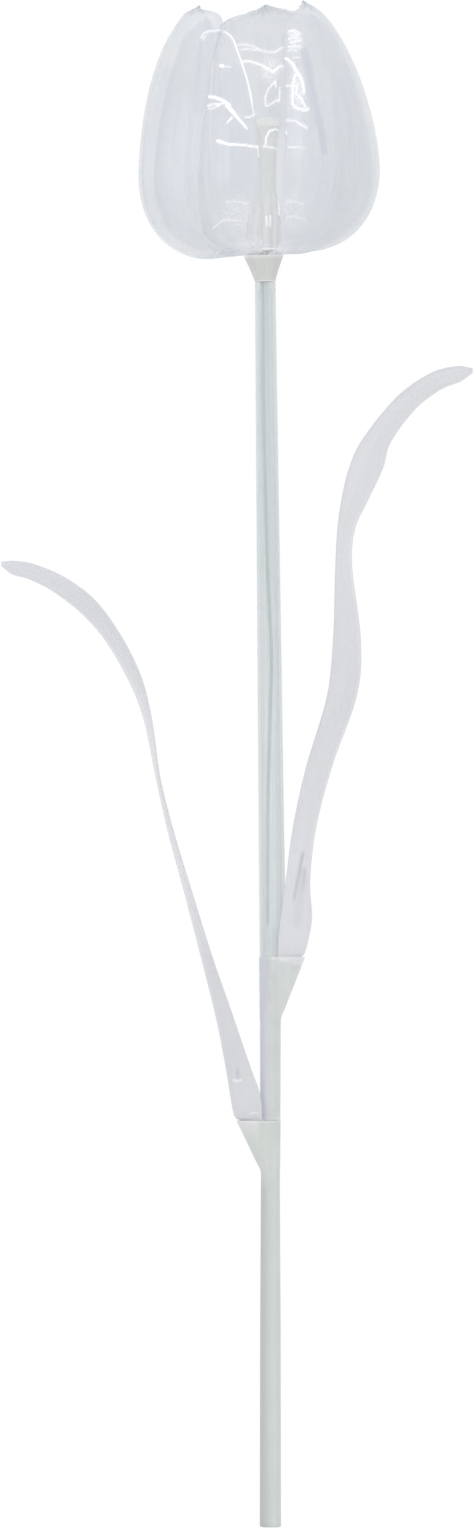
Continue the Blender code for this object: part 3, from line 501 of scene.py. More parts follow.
def cupRows(cup):
    # rows of radius and height from below the cup up its outside, over its rounded lip, down the inside to a
    # shallow recess, through the slot that holds the leaf's foot, and in to the core
    mouth, lipRound, core = cup["mouth"], stem["lipRound"], stem["coreRadius"]
    rows, low = [], mouth - cup["height"] - 2
    for height in np.append(cup["low"], np.linspace(low, mouth - lipRound, stem["cupRows"])):
        body = np.interp(height, *cup["body"])
        rows.append((body + (swollen(cup, height) - body) * rise(height, low, low + 5), height + 0 * ringAngles))
    rim = swollen(cup, mouth)
    lip = np.minimum(stem["cupWall"], np.maximum(rim - core, 0.2)) / 2
    for turn in np.linspace(0, math.pi, stem["lipRows"] + 1)[1:]:
        rows.append((rim - lip * (1 - math.cos(turn)), mouth - lipRound + lipRound * math.sin(turn) + 0 * rim))
    # the slot is open on the cup's side, and elsewhere its rows lie close together round the core
    opened = rise(rim - core, 0.9, 2.2)
    floor = mouth - lipRound - (stem["recess"] - lipRound) * opened
    inside = rim - 2 * lip
    rows.append((np.maximum(inside - 0.1, core + 0.1 * opened - 0.3 * (1 - opened)), floor))
    depths = (stem["recess"], *stem["slotDepths"])
    for face, offset in ((1, stem["gap"]), (-1, -stem["leafWall"] - stem["gap"])):
        for depth in depths[::face]:
            radius, within = slotRadius(cup, depth, offset)
            cut = within * opened > 0.5
            plain = core + 0.05 + face * (0.03 + 0.002 * (depths[-1] - depth)) - 0.3 * (1 - opened)
            radius = np.where(cut, np.clip(radius, core + 0.05, inside - 0.15), plain)
            rows.append((radius, np.where(cut, mouth - depth, floor - depth * (0.0075 + 0.0025 * face))))
    return np.array(rows)


def runs(outline, spacing):
    # splits the long straight runs of an outline into even steps
    out = [outline[0]]
    for (r0, z0), (r1, z1) in zip(outline[:-1], outline[1:]):
        count = max(1, int(math.hypot(r1 - r0, z1 - z0) / spacing))
        out += [(r0 + (r1 - r0) * k / count, z0 + (z1 - z0) * k / count) for k in range(1, count + 1)]
    return out


def sectionMesh(section):
    # a section's foot, cup and inside as one mesh in the whole tulip's frame, and how much painted light each point
    # gets
    # to lift its shade: fully from the middle of the lip inwards, where little light reaches it, and hardly before
    heights = np.linspace(*section["footRows"])
    foot = runs(section["foot"], section["spacing"]) + list(zip(np.interp(heights, *section["body"]), heights))
    inside = runs(section["inside"], section["spacing"])
    rows = np.concatenate([rings(foot, stem["columns"]), cupRows(section), rings(inside, stem["columns"])])
    shift = np.zeros(len(rows))
    if "holds" in section:
        # the inside follows the lean of the section that it holds
        held = joints[section["holds"]]
        x, top, lean = held["place"][0], held["place"][2], math.radians(held["lean"])
        tall = rows[-len(inside):, 1, 0]
        shift[-len(inside):] = (x - math.tan(lean) * (tall - top)) * rise(tall, 46, 53)
    points, faces, maps = turnedMesh(rows, section["closed"], shift)
    inward = np.arange(len(rows)) > len(foot) + stem["cupRows"] + stem["lipRows"] // 2
    pale = np.repeat(np.where(inward, 1, 0.2), stem["columns"])
    pale = np.append(pale, np.ones(len(points) - len(pale)))
    return placed(points, section["where"]), faces, maps, pale


points, faces, maps, pale = sectionMesh(lowerSection)
x, y, z = points.T
lowerTop = lowerSection["mouth"]
# the leaf's foot shows through the cup's thin lip, the rod's left side has painted shade, and its shaded lip and
# recess get painted light
fields = {
    "mouth": np.exp(-(((z - lowerTop) / 4.6) ** 2)) * rise(-x, 3.2, 4.6),
    "band": rise(-x, -1.5, 3.3) * (1 - rise(z, 108, 118)), "lip": pale * rise(z, lowerTop - 0.5, lowerTop - 0.3),
}
addPiece(
    "lower_stem", "moulding", points, faces, maps, fields, milkyFinish, "lower_section", 40
)

# painted highlights along the front of the right cup's lip
lipArcs = [
    ((1, 186.6, 4.2, 185.9, 7.6, 185.3, 11.1, 184.9), 0.6, 0.5, 0.7), ((-0.4, 188.2, 2.5, 188.2), 0.5, 0.4, 0.5),
]
points, faces, maps, pale = sectionMesh(middleSection)
x, y, z = points.T
middleTop = joints["middle"]["place"][2] + middleSection["mouth"]
# painted light on the shaded lip and recess, and on the foot's bottom, where it sits in the shade of the cup below
lip = pale * rise(z, middleTop - 0.5, middleTop - 0.3) * (z < middleTop + 0.1)
# the wire shows as a broad bluish band, as a thin rod does inside a thick one
fields = {
    "mouth": np.exp(-(((z - middleTop) / 3) ** 2)) * rise(x, 3.4, 5),
    "band": np.exp(-(((x + 2.2) / 1.2) ** 4)) * (np.hypot(x, y) > 3.1),
    "lip": lip + 0.5 * (1 - rise(z, lowerTop + 0.05, lowerTop + 0.25)), "glintLine": drawn(points, lipArcs) * (y < 0),
}
addPiece(
    "middle_stem", "moulding", points, faces, maps, fields, socketFinish, "middle_section", 40
)

tube = {
    "length": 221, "foot": 4.27, "top": 3.38, "body": ((0, 22, 99.5, 221), (4.27, 4.27, 3.95, 3.38)), "rows": 110,
    "wall": 0.87, "hole": 3.4, "holeDepth": 10.3, "spigot": 2.45, "spigotLength": 4.2, "spigotHole": 1.7,
}
length, wide, top, hole, spigot, bore = (
    tube[part] for part in ("length", "foot", "top", "hole", "spigot", "spigotHole")
)
heights = np.linspace(-0.1, length - 0.3, tube["rows"])
outside = list(zip(np.interp(heights, *tube["body"]), heights))
inside = [(r - tube["wall"], z) for r, z in outside[::-1] if tube["holeDepth"] < z < length - 3]
spigotTop = length + tube["spigotLength"]
outline = (
    [(hole + 0.05, -0.18), (wide - 0.1, -0.18)] + outside + [(top - 0.2, length), (spigot + 0.05, length)]
    + runs([(spigot, length + 0.2), (spigot, spigotTop - 0.2)], 1)
    + [(spigot - 0.2, spigotTop), (bore, spigotTop), (bore, length - 1)]
    + inside + [(hole, tube["holeDepth"]), (hole, 0.2)]
)
points, faces, maps = turnedMesh(rings(outline, stem["columns"]), True)
x, y, z = points.T
# the wire's image spreads to the right over the tube's upper part
haze = rise(z, 50, 150) * rise(x, -2.6, -0.6) * (1 - 0.7 * rise(x, 0.2, 2.4))
addPiece(
    "upper_stem", "tube", placed(points, "upper"), faces, maps, {"haze": haze}, tubeFinish, "upper_section",
    40,
)

# Wires: a round section carried along each section's smooth route, given as x and z in that section's frame
wire = {"radius": 0.6, "endRound": 0.1, "sides": 16, "steps": 12}
wireRoutes = {
    "lower_wire": ("tulip", "lower_section", [(0, 3.3), (0, 62), (0, 120)]),
    "middle_wire": ("middle", "middle_section", [
        (-0.8, -11.7), (-0.8, -3.75), (-1.85, 3.2), (-1.85, 21.4), (-1.85, 40.1), (-0.95, 53.4), (-0.95, 63.4)]),
    "upper_wire": ("upper", "upper_section", [
        (-1.6, 10.3), (-1.4, 26.5), (-1, 53), (0, 79.6), (0.6, 99.5), (-0.4, 130.4), (-1.1, 176.8),
        (-0.9, 205.5), (-0.8, 221), (-0.8, 224.9)]),
}
for name, (where, body, route) in wireRoutes.items():
    line = smoothRows(route, np.linspace(0, len(route) - 1, wire["steps"] * len(route)))
    rows = rings(np.stack([np.full(len(line), wire["radius"]), line[:, 1]], 1), wire["sides"])
    rows[[0, -1], 0] -= wire["endRound"]
    points, faces, maps = turnedMesh(rows, False, line[:, 0])
    addPiece(name, "line", placed(points, where), faces, maps, {}, wireFinish, body, 50)
print("stem done")


# Leaves: a channel whose section is a parabola from edge to edge, carried up a table of rows

leaf = {
    "wall": 0.8, "edgeWall": 0.3, "columns": 49, "rows": 300, "footDepth": 5, "footShare": 0.05, "veins": 6,
    "veinHeight": 0.07, "ribHeight": 0.18, "ribWidth": 0.8, "rimWidth": 0.7,
}
# edge nearest the stem x, z, midrib x, z, half width, and turn: 0 for a channel open to the stem, 1 for a blade
# turned to the front; x away from the stem and z from the cup's mouth
rightBlade = [
    (2.6, 1.2, 11.3, 1.3, 5.35, 0), (2.7, 5.5, 12.6, 6, 5.5, 0), (3.4, 12, 13.7, 13.4, 5.8, 0),
    (5.3, 25.6, 13.1, 25.5, 6.8, 0), (7.6, 42.4, 15.2, 43, 8.4, 0), (11.9, 62, 20.5, 63, 10.2, 0),
    (18.5, 84.2, 28.5, 86, 11.8, 0), (20.7, 104, 29.7, 104, 12.4, 0.1), (21.4, 125, 26.9, 127.5, 12.2, 0.2),
    (22.1, 139, 27.8, 140, 12, 0.3), (23.4, 149.5, 32.4, 150.2, 11.6, 0.35), (25.9, 160, 37, 160, 11, 0.4),
    (30.3, 169.4, 39.6, 168.5, 10.4, 0.5), (41.5, 183.2, 47.5, 179.2, 8.8, 0.7),
    (52.5, 191, 55.5, 185.6, 6.6, 0.85), (61, 193.4, 62.4, 188.8, 4.2, 1), (66.3, 192.9, 66.3, 191.5, 0.9, 1),
]
leftBlade = [
    (2.8, 1, 11.6, 1, 4.4, 0), (2.9, 3.2, 12.3, 3.2, 4.5, 0), (3.6, 9, 13.3, 8.7, 4.9, 0),
    (7, 18.3, 14.9, 18.6, 5.8, 0), (12.7, 34.8, 18.1, 34.6, 7.4, 0), (19.2, 53.2, 23.6, 56.5, 9, 0),
    (26.1, 75, 28.5, 75.4, 10.2, 0), (32.2, 94.3, 33.9, 95.5, 10.8, 0), (36.9, 112.7, 37.7, 112.7, 11, 0.05),
    (39.1, 130.7, 41.5, 131, 11, 0.15), (42.4, 144.8, 46.2, 143.4, 10.8, 0.3), (48.7, 158, 53.8, 156.6, 10.2, 0.5),
    (57.5, 170.3, 62, 166, 9, 0.65), (67.6, 178, 71.5, 173.4, 7.2, 0.8), (77.4, 182.2, 79, 177.3, 5, 0.9),
    (84, 183.4, 84.6, 179.2, 2.8, 1), (88.3, 183.1, 88.3, 181.9, 0.9, 1),
]
# a leaf's strokes are painted highlights and its folds are painted shade, given as the flower's marks are further on
leaves = {
    "right_leaf": {
        "cup": middleSection, "blade": rightBlade, "where": "middle", "body": "right_leaf_body",
        "basePale": 0.75, "tipShade": 0.15, "strokes": [],
        "foldShades": [
            ((10.8, 221, 9.6, 214.5, 8.6, 209.5, 7.8, 205.5), 1, 0.7, 0.9),
            ((11.4, 215.5, 11.2, 212, 10.9, 208.8), 0.9, 0.6, 0.8),
            ((10.4, 212, 9.4, 203, 8.8, 198), 3, 4, 0.25),
        ],
    },
    "left_leaf": {
        "cup": lowerSection, "blade": leftBlade, "where": "tulip", "body": "left_leaf_body",
        "basePale": 0.15, "tipShade": 0.6,
        "strokes": [
            ((-12, 146.4, -10.9, 146.1, -9.6, 146.7), 0.9, 0.6, 0.4),
            ((-6.6, 135.4, -5.4, 135.9, -4.3, 135.6), 0.6, 0.5, 0.3),
        ],
        "foldShades": [((-10.8, 149.4, -10.9, 147.4), 1.1, 0.9, 0.8), ((-7.5, 134, -13.5, 155, -22, 185), 10, 10, 0.13)],
    },
}


def leafSurface(plan, across, place, below):
    # rib + half the chord from edge to edge times across + the sag from rib to chord times across squared
    cup = plan["cup"]
    half = cup["leafCore"] + stem["gap"] + stem["leafWall"]
    first = (cup["edge"], 0, cup["reach"] - stem["cupWall"] - stem["gap"], 0, half, 0)
    edgeX, edgeZ, ribX, ribZ, half, turn = np.moveaxis(smoothRows([first] + plan["blade"], place), -1, 0)
    front = np.stack([edgeX, -half, edgeZ], -1)
    back = np.stack([edgeX + (ribX - edgeX) * turn, half, edgeZ + (ribZ - edgeZ) * turn], -1)
    middle = (front + back) / 2
    rib = np.stack([ribX, 0 * ribX, ribZ], -1)
    rib = rib + (middle - rib) * (turn**3 * 0.25)[..., None]
    a = across[..., None]
    points = rib + (back - front) / 2 * a + (middle - rib) * a**2
    slope = (cup["reach"] - cup["core"]) / cup["height"]
    x, z = points[..., 0] - below * slope, points[..., 2] - below
    return np.stack([cup["side"] * x, cup["side"] * points[..., 1], z + cup["mouth"]], -1)


for name, plan in leaves.items():
    s, t = np.linspace(-1, 1, leaf["columns"]), np.linspace(0, 1, leaf["rows"])
    above = np.clip((t - leaf["footShare"]) / (1 - leaf["footShare"]), 0, 1)
    below = leaf["footDepth"] * np.clip(1 - t / leaf["footShare"], 0, 1)
    across, place = np.meshgrid(0.6 * s + 0.4 * np.sin(s * math.pi / 2), above * len(plan["blade"]))
    outer = leafSurface(plan, across, place, below[:, None])
    up = np.linalg.norm(np.diff(outer, axis=0), axis=2).mean(1)
    along = np.append(0, np.cumsum(up))[:, None] + 0 * across
    wide, length, foot = widths(outer), along.max(), leaf["footDepth"] + 1
    # veins and a rib stand out from a little above the foot to a little below the tip
    free = rise(along, foot, foot + 11) * (1 - rise(along, length - 12, length))
    veins = leaf["veinHeight"] * (np.cos(across * math.pi * leaf["veins"]) - 1)
    rib = leaf["ribHeight"] * (np.exp(-((wide / leaf["ribWidth"]) ** 2)) - 0.5)
    carved = outer + normals(outer) * ((veins + np.minimum(rib, 0)) * free)[..., None]
    edge = edgeDistance(wide, along, length)
    thin = leaf["edgeWall"] + (leaf["wall"] - leaf["edgeWall"]) * rise(edge, -0.2, 1.6)
    front = placed(outer, plan["where"])
    marks = {
        "base": plan["basePale"] * (1 - rise(along, 40, 110)), "upper": rise(along, 95, 150),
        "tip": plan["tipShade"] * rise(along, 120, 190),
        "rim": np.exp(-((edge / leaf["rimWidth"]) ** 2)) * rise(along, 30, 90),
        "foldShade": drawn(front, plan["foldShades"]), "glintLine": drawn(front, plan["strokes"]),
    }
    addShell(
        name, carved, np.where(along < foot, leaf["wall"], thin), wide, along, marks, leafFinish, plan["where"],
        plan["body"],
    )
print("leaves done")


# Flower: a milky cup, six petals and a pistil, all in the head's frame

cup = {
    "height": 8.4, "neck": 3.5, "top": 6.6, "pegHole": 1.9, "socket": 2.93, "socketDepth": 4.2, "flareRows": 24,
    "flutes": 6, "fluteDepth": 0.16, "footDrop": 0.2,
}
flare = [
    (cup["neck"] + (cup["top"] - cup["neck"]) * s**1.2, cup["height"] * s)
    for s in np.linspace(1, 0, cup["flareRows"])
]
flare[0] = (cup["top"], cup["height"] - 0.15)
outline = (
    [(cup["pegHole"], cup["height"] - 0.05), (cup["top"] - 0.35, cup["height"])] + flare
    + [(cup["socket"] + 0.1, 0), (cup["socket"], 0.1), (cup["socket"], cup["socketDepth"]),
       (cup["pegHole"], cup["socketDepth"])]
)
rows = rings(outline, stem["columns"])
radii, heights = rows[:, 0], rows[:, 1]
outside = np.zeros((len(outline), 1))
outside[2:2 + len(flare)] = 1
radii += cup["fluteDepth"] * rise(heights, 2.5, 8) * outside * (np.cos(cup["flutes"] * ringAngles) - 1)
# its underside stays parallel to the top of the tube, which leans less by the head's own lean
under = heights < 0.15
tilt = math.tan(math.radians(joints["head"]["lean"]))
heights -= under * (cup["footDrop"] + tilt * radii * np.cos(ringAngles))
points, faces, maps = turnedMesh(rows, True)
# painted light on the cup's top edge and on its underside
fields = {"rim": 0.6 * (rise(heights, 7, 8.4) * outside + 1.2 * under)}
addPiece(
    "receptacle", "moulding", placed(points, "head"), faces, maps, fields, cupFinish, "flower_head",
    40,
)

head = {
    "foot": 8.7, "footRadius": 3, "flat": 16.5, "bowl": 39.3, "bowlHeight": 27.2, "bowlPower": 0.95, "height": 82.6,
    "tip": 19, "handles": (0.31, 0.62, 0.87), "layerStep": 1.5, "layerStart": 7, "layerBlend": 6,
    "outerCurl": 0.5, "innerCurl": -0.8, "wall": 0.9, "edgeWall": 0.35, "inset": 0.1, "closingRows": 8,
    "veins": 8, "veinHeight": 0.06, "grooveDepth": 0.22, "grooveWidth": 1.3, "pleats": 9, "pleatHeight": 0.18,
    "flutter": 0.2, "foldDepth": 0.1, "rimWidth": 0.4, "litRimPlace": 0.45, "litRimWidth": 0.35, "litRim": 0.8,
}


def petalProfile():
    # the petals' outer face from foot to tip as radius and height in even steps: flat, then a quarter of a rounded
    # ellipse, then a cubic curve that leans in to the tips
    angle = np.linspace(0, math.pi / 2, 1200)[1:, None]
    power, start = head["bowlPower"], head["foot"] + head["bowlHeight"]
    bowl = np.hstack([
        head["flat"] + (head["bowl"] - head["flat"]) * np.sin(angle) ** power,
        head["foot"] + head["bowlHeight"] * (1 - np.cos(angle) ** power),
    ])
    upright, inward, high = head["handles"]
    rest = head["height"] - head["bowlHeight"]
    handles = np.array([
        [head["bowl"], start], [head["bowl"], start + rest * upright],
        [head["tip"] + (head["bowl"] - head["tip"]) * inward, start + rest * high], [head["tip"], start + rest],
    ])
    t = np.linspace(0, 1, 1200)[1:, None]
    weights = np.hstack([(1 - t) ** 3, 3 * t * (1 - t) ** 2, 3 * t**2 * (1 - t), t**3])
    flat = [[head["footRadius"], head["foot"]], [head["flat"], head["foot"]]]
    line = np.vstack([flat, bowl, weights @ handles])
    length = np.append(0, np.cumsum(np.linalg.norm(np.diff(line, axis=0), axis=1)))
    even = np.linspace(0, length[-1], 3000)
    return np.stack([np.interp(even, length, line[:, k]) for k in (0, 1)], 1), length[-1]


petalLine, petalLength = petalProfile()
lineShares = np.linspace(0, 1, len(petalLine))
lineOut = np.gradient(petalLine, axis=0)[:, ::-1] * (1, -1)
lineOut /= np.linalg.norm(lineOut, axis=1)[:, None]
# half width in degrees at some shares of a petal's length
outerSpread = ((0, 0.06, 0.13, 0.35, 0.6, 1), (22, 23, 30, 38, 39, 41))
innerSpread = ((0, 0.09, 0.25, 0.4, 0.55, 0.8, 1), (20, 22, 28, 25, 21, 18, 15))
frontSpread = ((0, 0.09, 0.25, 0.5, 0.65, 0.8, 0.9, 1), (19, 20, 20.5, 19.8, 18.6, 16.4, 14, 13))


def petalSurface(petal, across, share):
    # the profile's place at this share of the petal, turned round the flower's axis by the petal's azimuth, turns
    # and half width, and moved along the profile's normal by its curl, belly and layer; the top rounds off as a
    # cube under a root, and the nub on it is as wide as a power of the logarithm of its height
    reached = share * petal["reach"]
    radius, height = (np.interp(reached, lineShares, petalLine[:, k]) for k in (0, 1))
    outR, outZ = (np.interp(reached, lineShares, lineOut[:, k]) for k in (0, 1))
    half = sum(np.interp(share + d, *petal["spread"]) * w for d, w in ((-0.03, 0.25), (0, 0.5), (0.03, 0.25)))
    half = np.radians(half)
    nubHeight, nubWidth, nubPower = petal["nub"]
    nub, shoulder = nubHeight / petalLength, petal["shoulder"]
    rounding = np.clip((share - shoulder) / (1 - nub - shoulder), 0, 1)
    risen = np.clip((share - 1 + nub) / max(nub, 1e-6), 0.03, 0.9999)
    nubHalf = (nubWidth * (-np.log(risen)) ** nubPower + 0.05) / radius
    half = np.where(share > shoulder, np.maximum(half * np.sqrt(1 - rounding**3), nubHalf), half)
    layer = head["layerStep"] * petal["inner"] * np.clip((radius - head["layerStart"]) / head["layerBlend"], 0, 1)
    free = np.sqrt(np.sin(math.pi * np.clip(share / shoulder, 0, 1)))
    swell = petal["belly"] * np.sin(math.pi * np.clip(share / 0.6, 0, 1)) ** 2
    curl = head["innerCurl"] if petal["inner"] else head["outerCurl"]
    shift = curl * across**2 * free - layer + swell
    radius, height = radius + outR * shift, height + outZ * shift
    twist, tipTurn = petal["turns"]
    turned = petal["azimuth"] + twist * (share - 0.5) + tipTurn * np.clip(2 * share - 1, 0, 1) ** 4
    angle = np.radians(turned) + half * across
    return np.stack([radius * np.cos(angle), radius * np.sin(angle), height], -1)


# Marks that the moulding and the packing left in the plastic, with painted light and shade along them. A stroke is a
# painted highlight, a bright line along a crease: its line as x and z in the tulip's front view, its width at both
# ends, and its strength. A fold is painted shade of the same kind, a soft dark line, grooved a little into the
# petals. A crinkle is a patch of fine wrinkles with painted highlights along them: its middle, its half width and
# height, and its strength.
frontStrokes = [
    ((-20, 467.8, -18.2, 467.6, -15.2, 466.4, -13.4, 465.1), 1.1, 0.8, 0.95),
    ((-20.5, 464.9, -18.9, 465.4, -16.7, 465.4, -14.6, 465.8), 0.8, 0.6, 0.75),
    ((-20.3, 463.9, -18.5, 464.1, -16.8, 464.9), 0.6, 0.4, 0.6),
    ((-14.2, 464.9, -12.3, 462.7, -10.2, 460.2, -7.6, 457.2), 1.5, 0.5, 1),
    ((-12.7, 460.9, -14.3, 459.1), 0.8, 0.5, 0.8), ((-16.4, 478, -15.6, 478), 1.1, 1, 0.9),
    ((-15.5, 477.9, -12.9, 477.6), 0.45, 0.3, 0.6),
    ((-17.3, 453.3, -13.6, 452.1, -8.9, 451.9, -4.2, 451.2), 1.1, 0.5, 0.95),
    ((-4, 451.1, -3.9, 448.1), 0.5, 0.4, 0.6),
    ((-4.6, 466.5, -4.7, 464.2, -5.2, 461.9, -6.7, 461.1, -8.3, 460.9), 0.9, 0.7, 0.5),
    ((-14.3, 433.2, -11.3, 433.5, -7.8, 432.8), 0.8, 0.5, 0.22),
    ((-15.1, 427.2, -12.3, 427.5, -9.6, 427), 0.9, 0.5, 0.28),
    ((-18.8, 424.9, -16.9, 426.5, -15.2, 427.5), 0.7, 0.5, 0.35),
]
backStrokes = [
    ((-11.6, 487.1, -9, 487.4, -6.4, 487.1, -4.7, 486.5, -3.1, 485.5, -0.8, 485, 1.8, 484.9, 3.1, 485.8,
      5.1, 486.9), 0.5, 0.5, 0.8),
    ((-10, 485.6, -8, 485.9, -6, 485.8, -3.7, 485.5), 0.4, 0.4, 0.7),
    ((-8.9, 481.8, -7.4, 482, -5.2, 481.5, -3.1, 480.7, -1.2, 479.6, 1, 478.6, 2.4, 479.5, 3.5, 480.4, 4.5, 480.2),
     0.75, 0.55, 1),
    ((-4.2, 480.9, -2.6, 480.6, -0.6, 479.2), 0.6, 0.5, 0.9),
    ((1.8, 475.4, -0.5, 472.9, -1.6, 470, -1.4, 467.1, 0.6, 468, 2.1, 469.2, 3, 468.5, 3.3, 471.4, 3.3, 473.6),
     0.5, 0.45, 0.8),
    ((1.8, 475.4, 2, 473.4), 0.7, 0.4, 0.8),
]
rightStrokes = [
    ((5, 480.4, 5.8, 480.2, 7.5, 478.7, 8.3, 476.9, 9.9, 474.4, 10.8, 471.8, 11, 469.2), 0.8, 0.5, 0.95),
    ((8.3, 475.4, 7.5, 472.2, 7.3, 469.2, 7.3, 465.6, 8.3, 464.2, 11.1, 463.4, 12.6, 463.8), 0.55, 0.7, 0.85),
    ((9, 472.2, 8.3, 468.9, 10, 467.5, 11.5, 464.5), 0.45, 0.6, 0.8),
    ((4.8, 471.4, 6.4, 471.3, 8.3, 471.4), 0.45, 0.4, 0.7), ((6.1, 489.7, 7.9, 490, 10, 488.9), 0.55, 0.4, 0.8),
    ((6.3, 488.4, 9.4, 488.6), 0.35, 0.35, 0.6), ((6.1, 487.1, 8.4, 487.5, 10.4, 487.1), 0.45, 0.35, 0.7),
    ((6.1, 485.9, 10.4, 486.5), 0.4, 0.35, 0.65), ((5.9, 484.4, 8.1, 484.7, 10.2, 484.5), 0.45, 0.35, 0.7),
    ((5.8, 483.1, 7.1, 483.4, 8.7, 482.9), 0.4, 0.35, 0.6), ((7.5, 480.9, 9.7, 480.9), 0.4, 0.35, 0.6),
    ((4.6, 460, 7.9, 460, 9.7, 458.9, 11.9, 457.6), 0.5, 0.9, 0.6), ((4.7, 457.6, 5.3, 455.4), 0.6, 0.4, 0.6),
    ((5.7, 451.4, 11, 451.1), 0.5, 0.4, 0.5), ((5, 433.2, 7.7, 433.4, 10.7, 432.7), 0.7, 0.5, 0.25),
    ((5.4, 428.1, 8.4, 428.6, 11.3, 427.8), 0.7, 0.5, 0.25),
]
leftStrokes = [
    ((-22.9, 487.6, -21.9, 489.2, -19.8, 489.9, -17.5, 490, -15.9, 489.8), 0.7, 0.6, 0.6),
    ((-22.6, 486.6, -21.5, 488.2), 0.5, 0.4, 0.45),
]
rightFoldShades = [
    ((11.7, 482.6, 12.7, 478, 13.6, 471.4, 15.5, 462.3, 16.9, 457, 17.9, 449.8), 3.2, 2.4, 0.8),
    ((24.5, 471.1, 26.4, 462.9, 27.4, 454.7), 1.2, 0.8, 0.4),
    ((20.5, 467.8, 21.8, 458, 22.2, 446.5, 20.9, 435), 1, 1, 0.35),
]
# the petals are thin where they close round the pistil, and its foot shows through them
thinPlaces = [((-2.4, 425), (7.5, 8.5), 1)]
# their feet lie over one another in the cup, in shade, and are painted paler there as painted light
feetFillLight = [((-3.2, 417.8), (8.3, 4), 0.95)]
backFoldShades = [((1, 474, 2, 462), 10, 9, 0.4)]
frontFoldShades = [((-12.5, 470, -11.5, 440), 17, 15, 0.3)]
leftFoldShades = [
    ((-33.5, 476, -37, 458, -38, 442, -36, 426), 6, 6, 0.25),
    ((-28.7, 474.4, -30.3, 465.8, -31.4, 456.3, -32.1, 446.5), 1, 1, 0.45),
    ((-25.2, 471.7, -26.4, 462.9, -27.3, 453.1, -27.7, 443.2, -27, 433.4), 1, 1, 0.5),
    ((-22.9, 487.5, -23.7, 480.9, -24.4, 471.1), 1.2, 0.8, 0.5),
    ((-33.6, 471.1, -35.2, 461.2, -36.2, 451.4), 0.8, 0.8, 0.35),
]
plainPetal = {
    "turns": (0, 0), "spread": outerSpread, "belly": 0, "shoulder": 0.9, "inner": 0, "columns": 151, "rows": 280,
    "relief": 0, "finish": petalFinish, "litRim": False, "thin": [], "strokes": [], "foldShades": [], "glintingCrinkles": [],
}
hiddenPetal = {"spread": innerSpread, "inner": 1, "nub": (1.8, 1.5, 0.6), "columns": 81, "rows": 230}
petals = {
    "outer_petal_left": {
        "azimuth": 202, "turns": (13, 0), "reach": 0.996, "belly": 0.8, "nub": (1.9, 1.9, 0.65),
        "columns": 121, "rows": 250, "finish": leftFinish, "faintRim": (1, 0.85),
        # painted light: this thin patch paints the left petal's low part paler
        "thin": [((-29, 446), (9.5, 20), 0.5)], "strokes": leftStrokes, "foldShades": leftFoldShades,
        "glintingCrinkles": [((-19, 427), (4, 5), 0.4)],
    },
    "outer_petal_right": {
        "azimuth": 321, "turns": (24, 0), "reach": 0.992, "belly": -0.4, "shoulder": 0.8, "nub": (2.7, 2.6, 0.65),
        "relief": -0.22, "faintRim": (-1, 0.55), "thin": thinPlaces, "strokes": rightStrokes, "foldShades": rightFoldShades,
        "glintingCrinkles": [((8.4, 486.5), (2.2, 4), 0.8), ((9, 470.4), (2.6, 7), 0.7), ((7.7, 430.4), (4.2, 6), 0.3)],
    },
    "outer_petal_back": {
        "azimuth": 74, "reach": 0.998, "nub": (2.6, 3.7, 0.5), "relief": 0.22, "finish": backFinish,
        "strokes": backStrokes, "foldShades": backFoldShades, "glintingCrinkles": [((0.2, 479), (2.8, 4.3), 1)],
    },
    "inner_petal_front": {
        "azimuth": 250.5, "turns": (6, -13), "reach": 0.904, "spread": frontSpread, "shoulder": 0.94, "inner": 1,
        "nub": (0, 0, 1), "columns": 121, "rows": 340, "relief": 0.22, "litRim": True, "thin": thinPlaces,
        "strokes": frontStrokes, "foldShades": frontFoldShades, "glintingCrinkles": [((-11.3, 429.1), (6, 6.5), 0.3)],
    },
    "inner_petal_right": {**hiddenPetal, "azimuth": 20, "turns": (4, 0), "reach": 0.955},
    "inner_petal_back": {**hiddenPetal, "azimuth": 137, "turns": (-6, 0), "reach": 0.965},
}

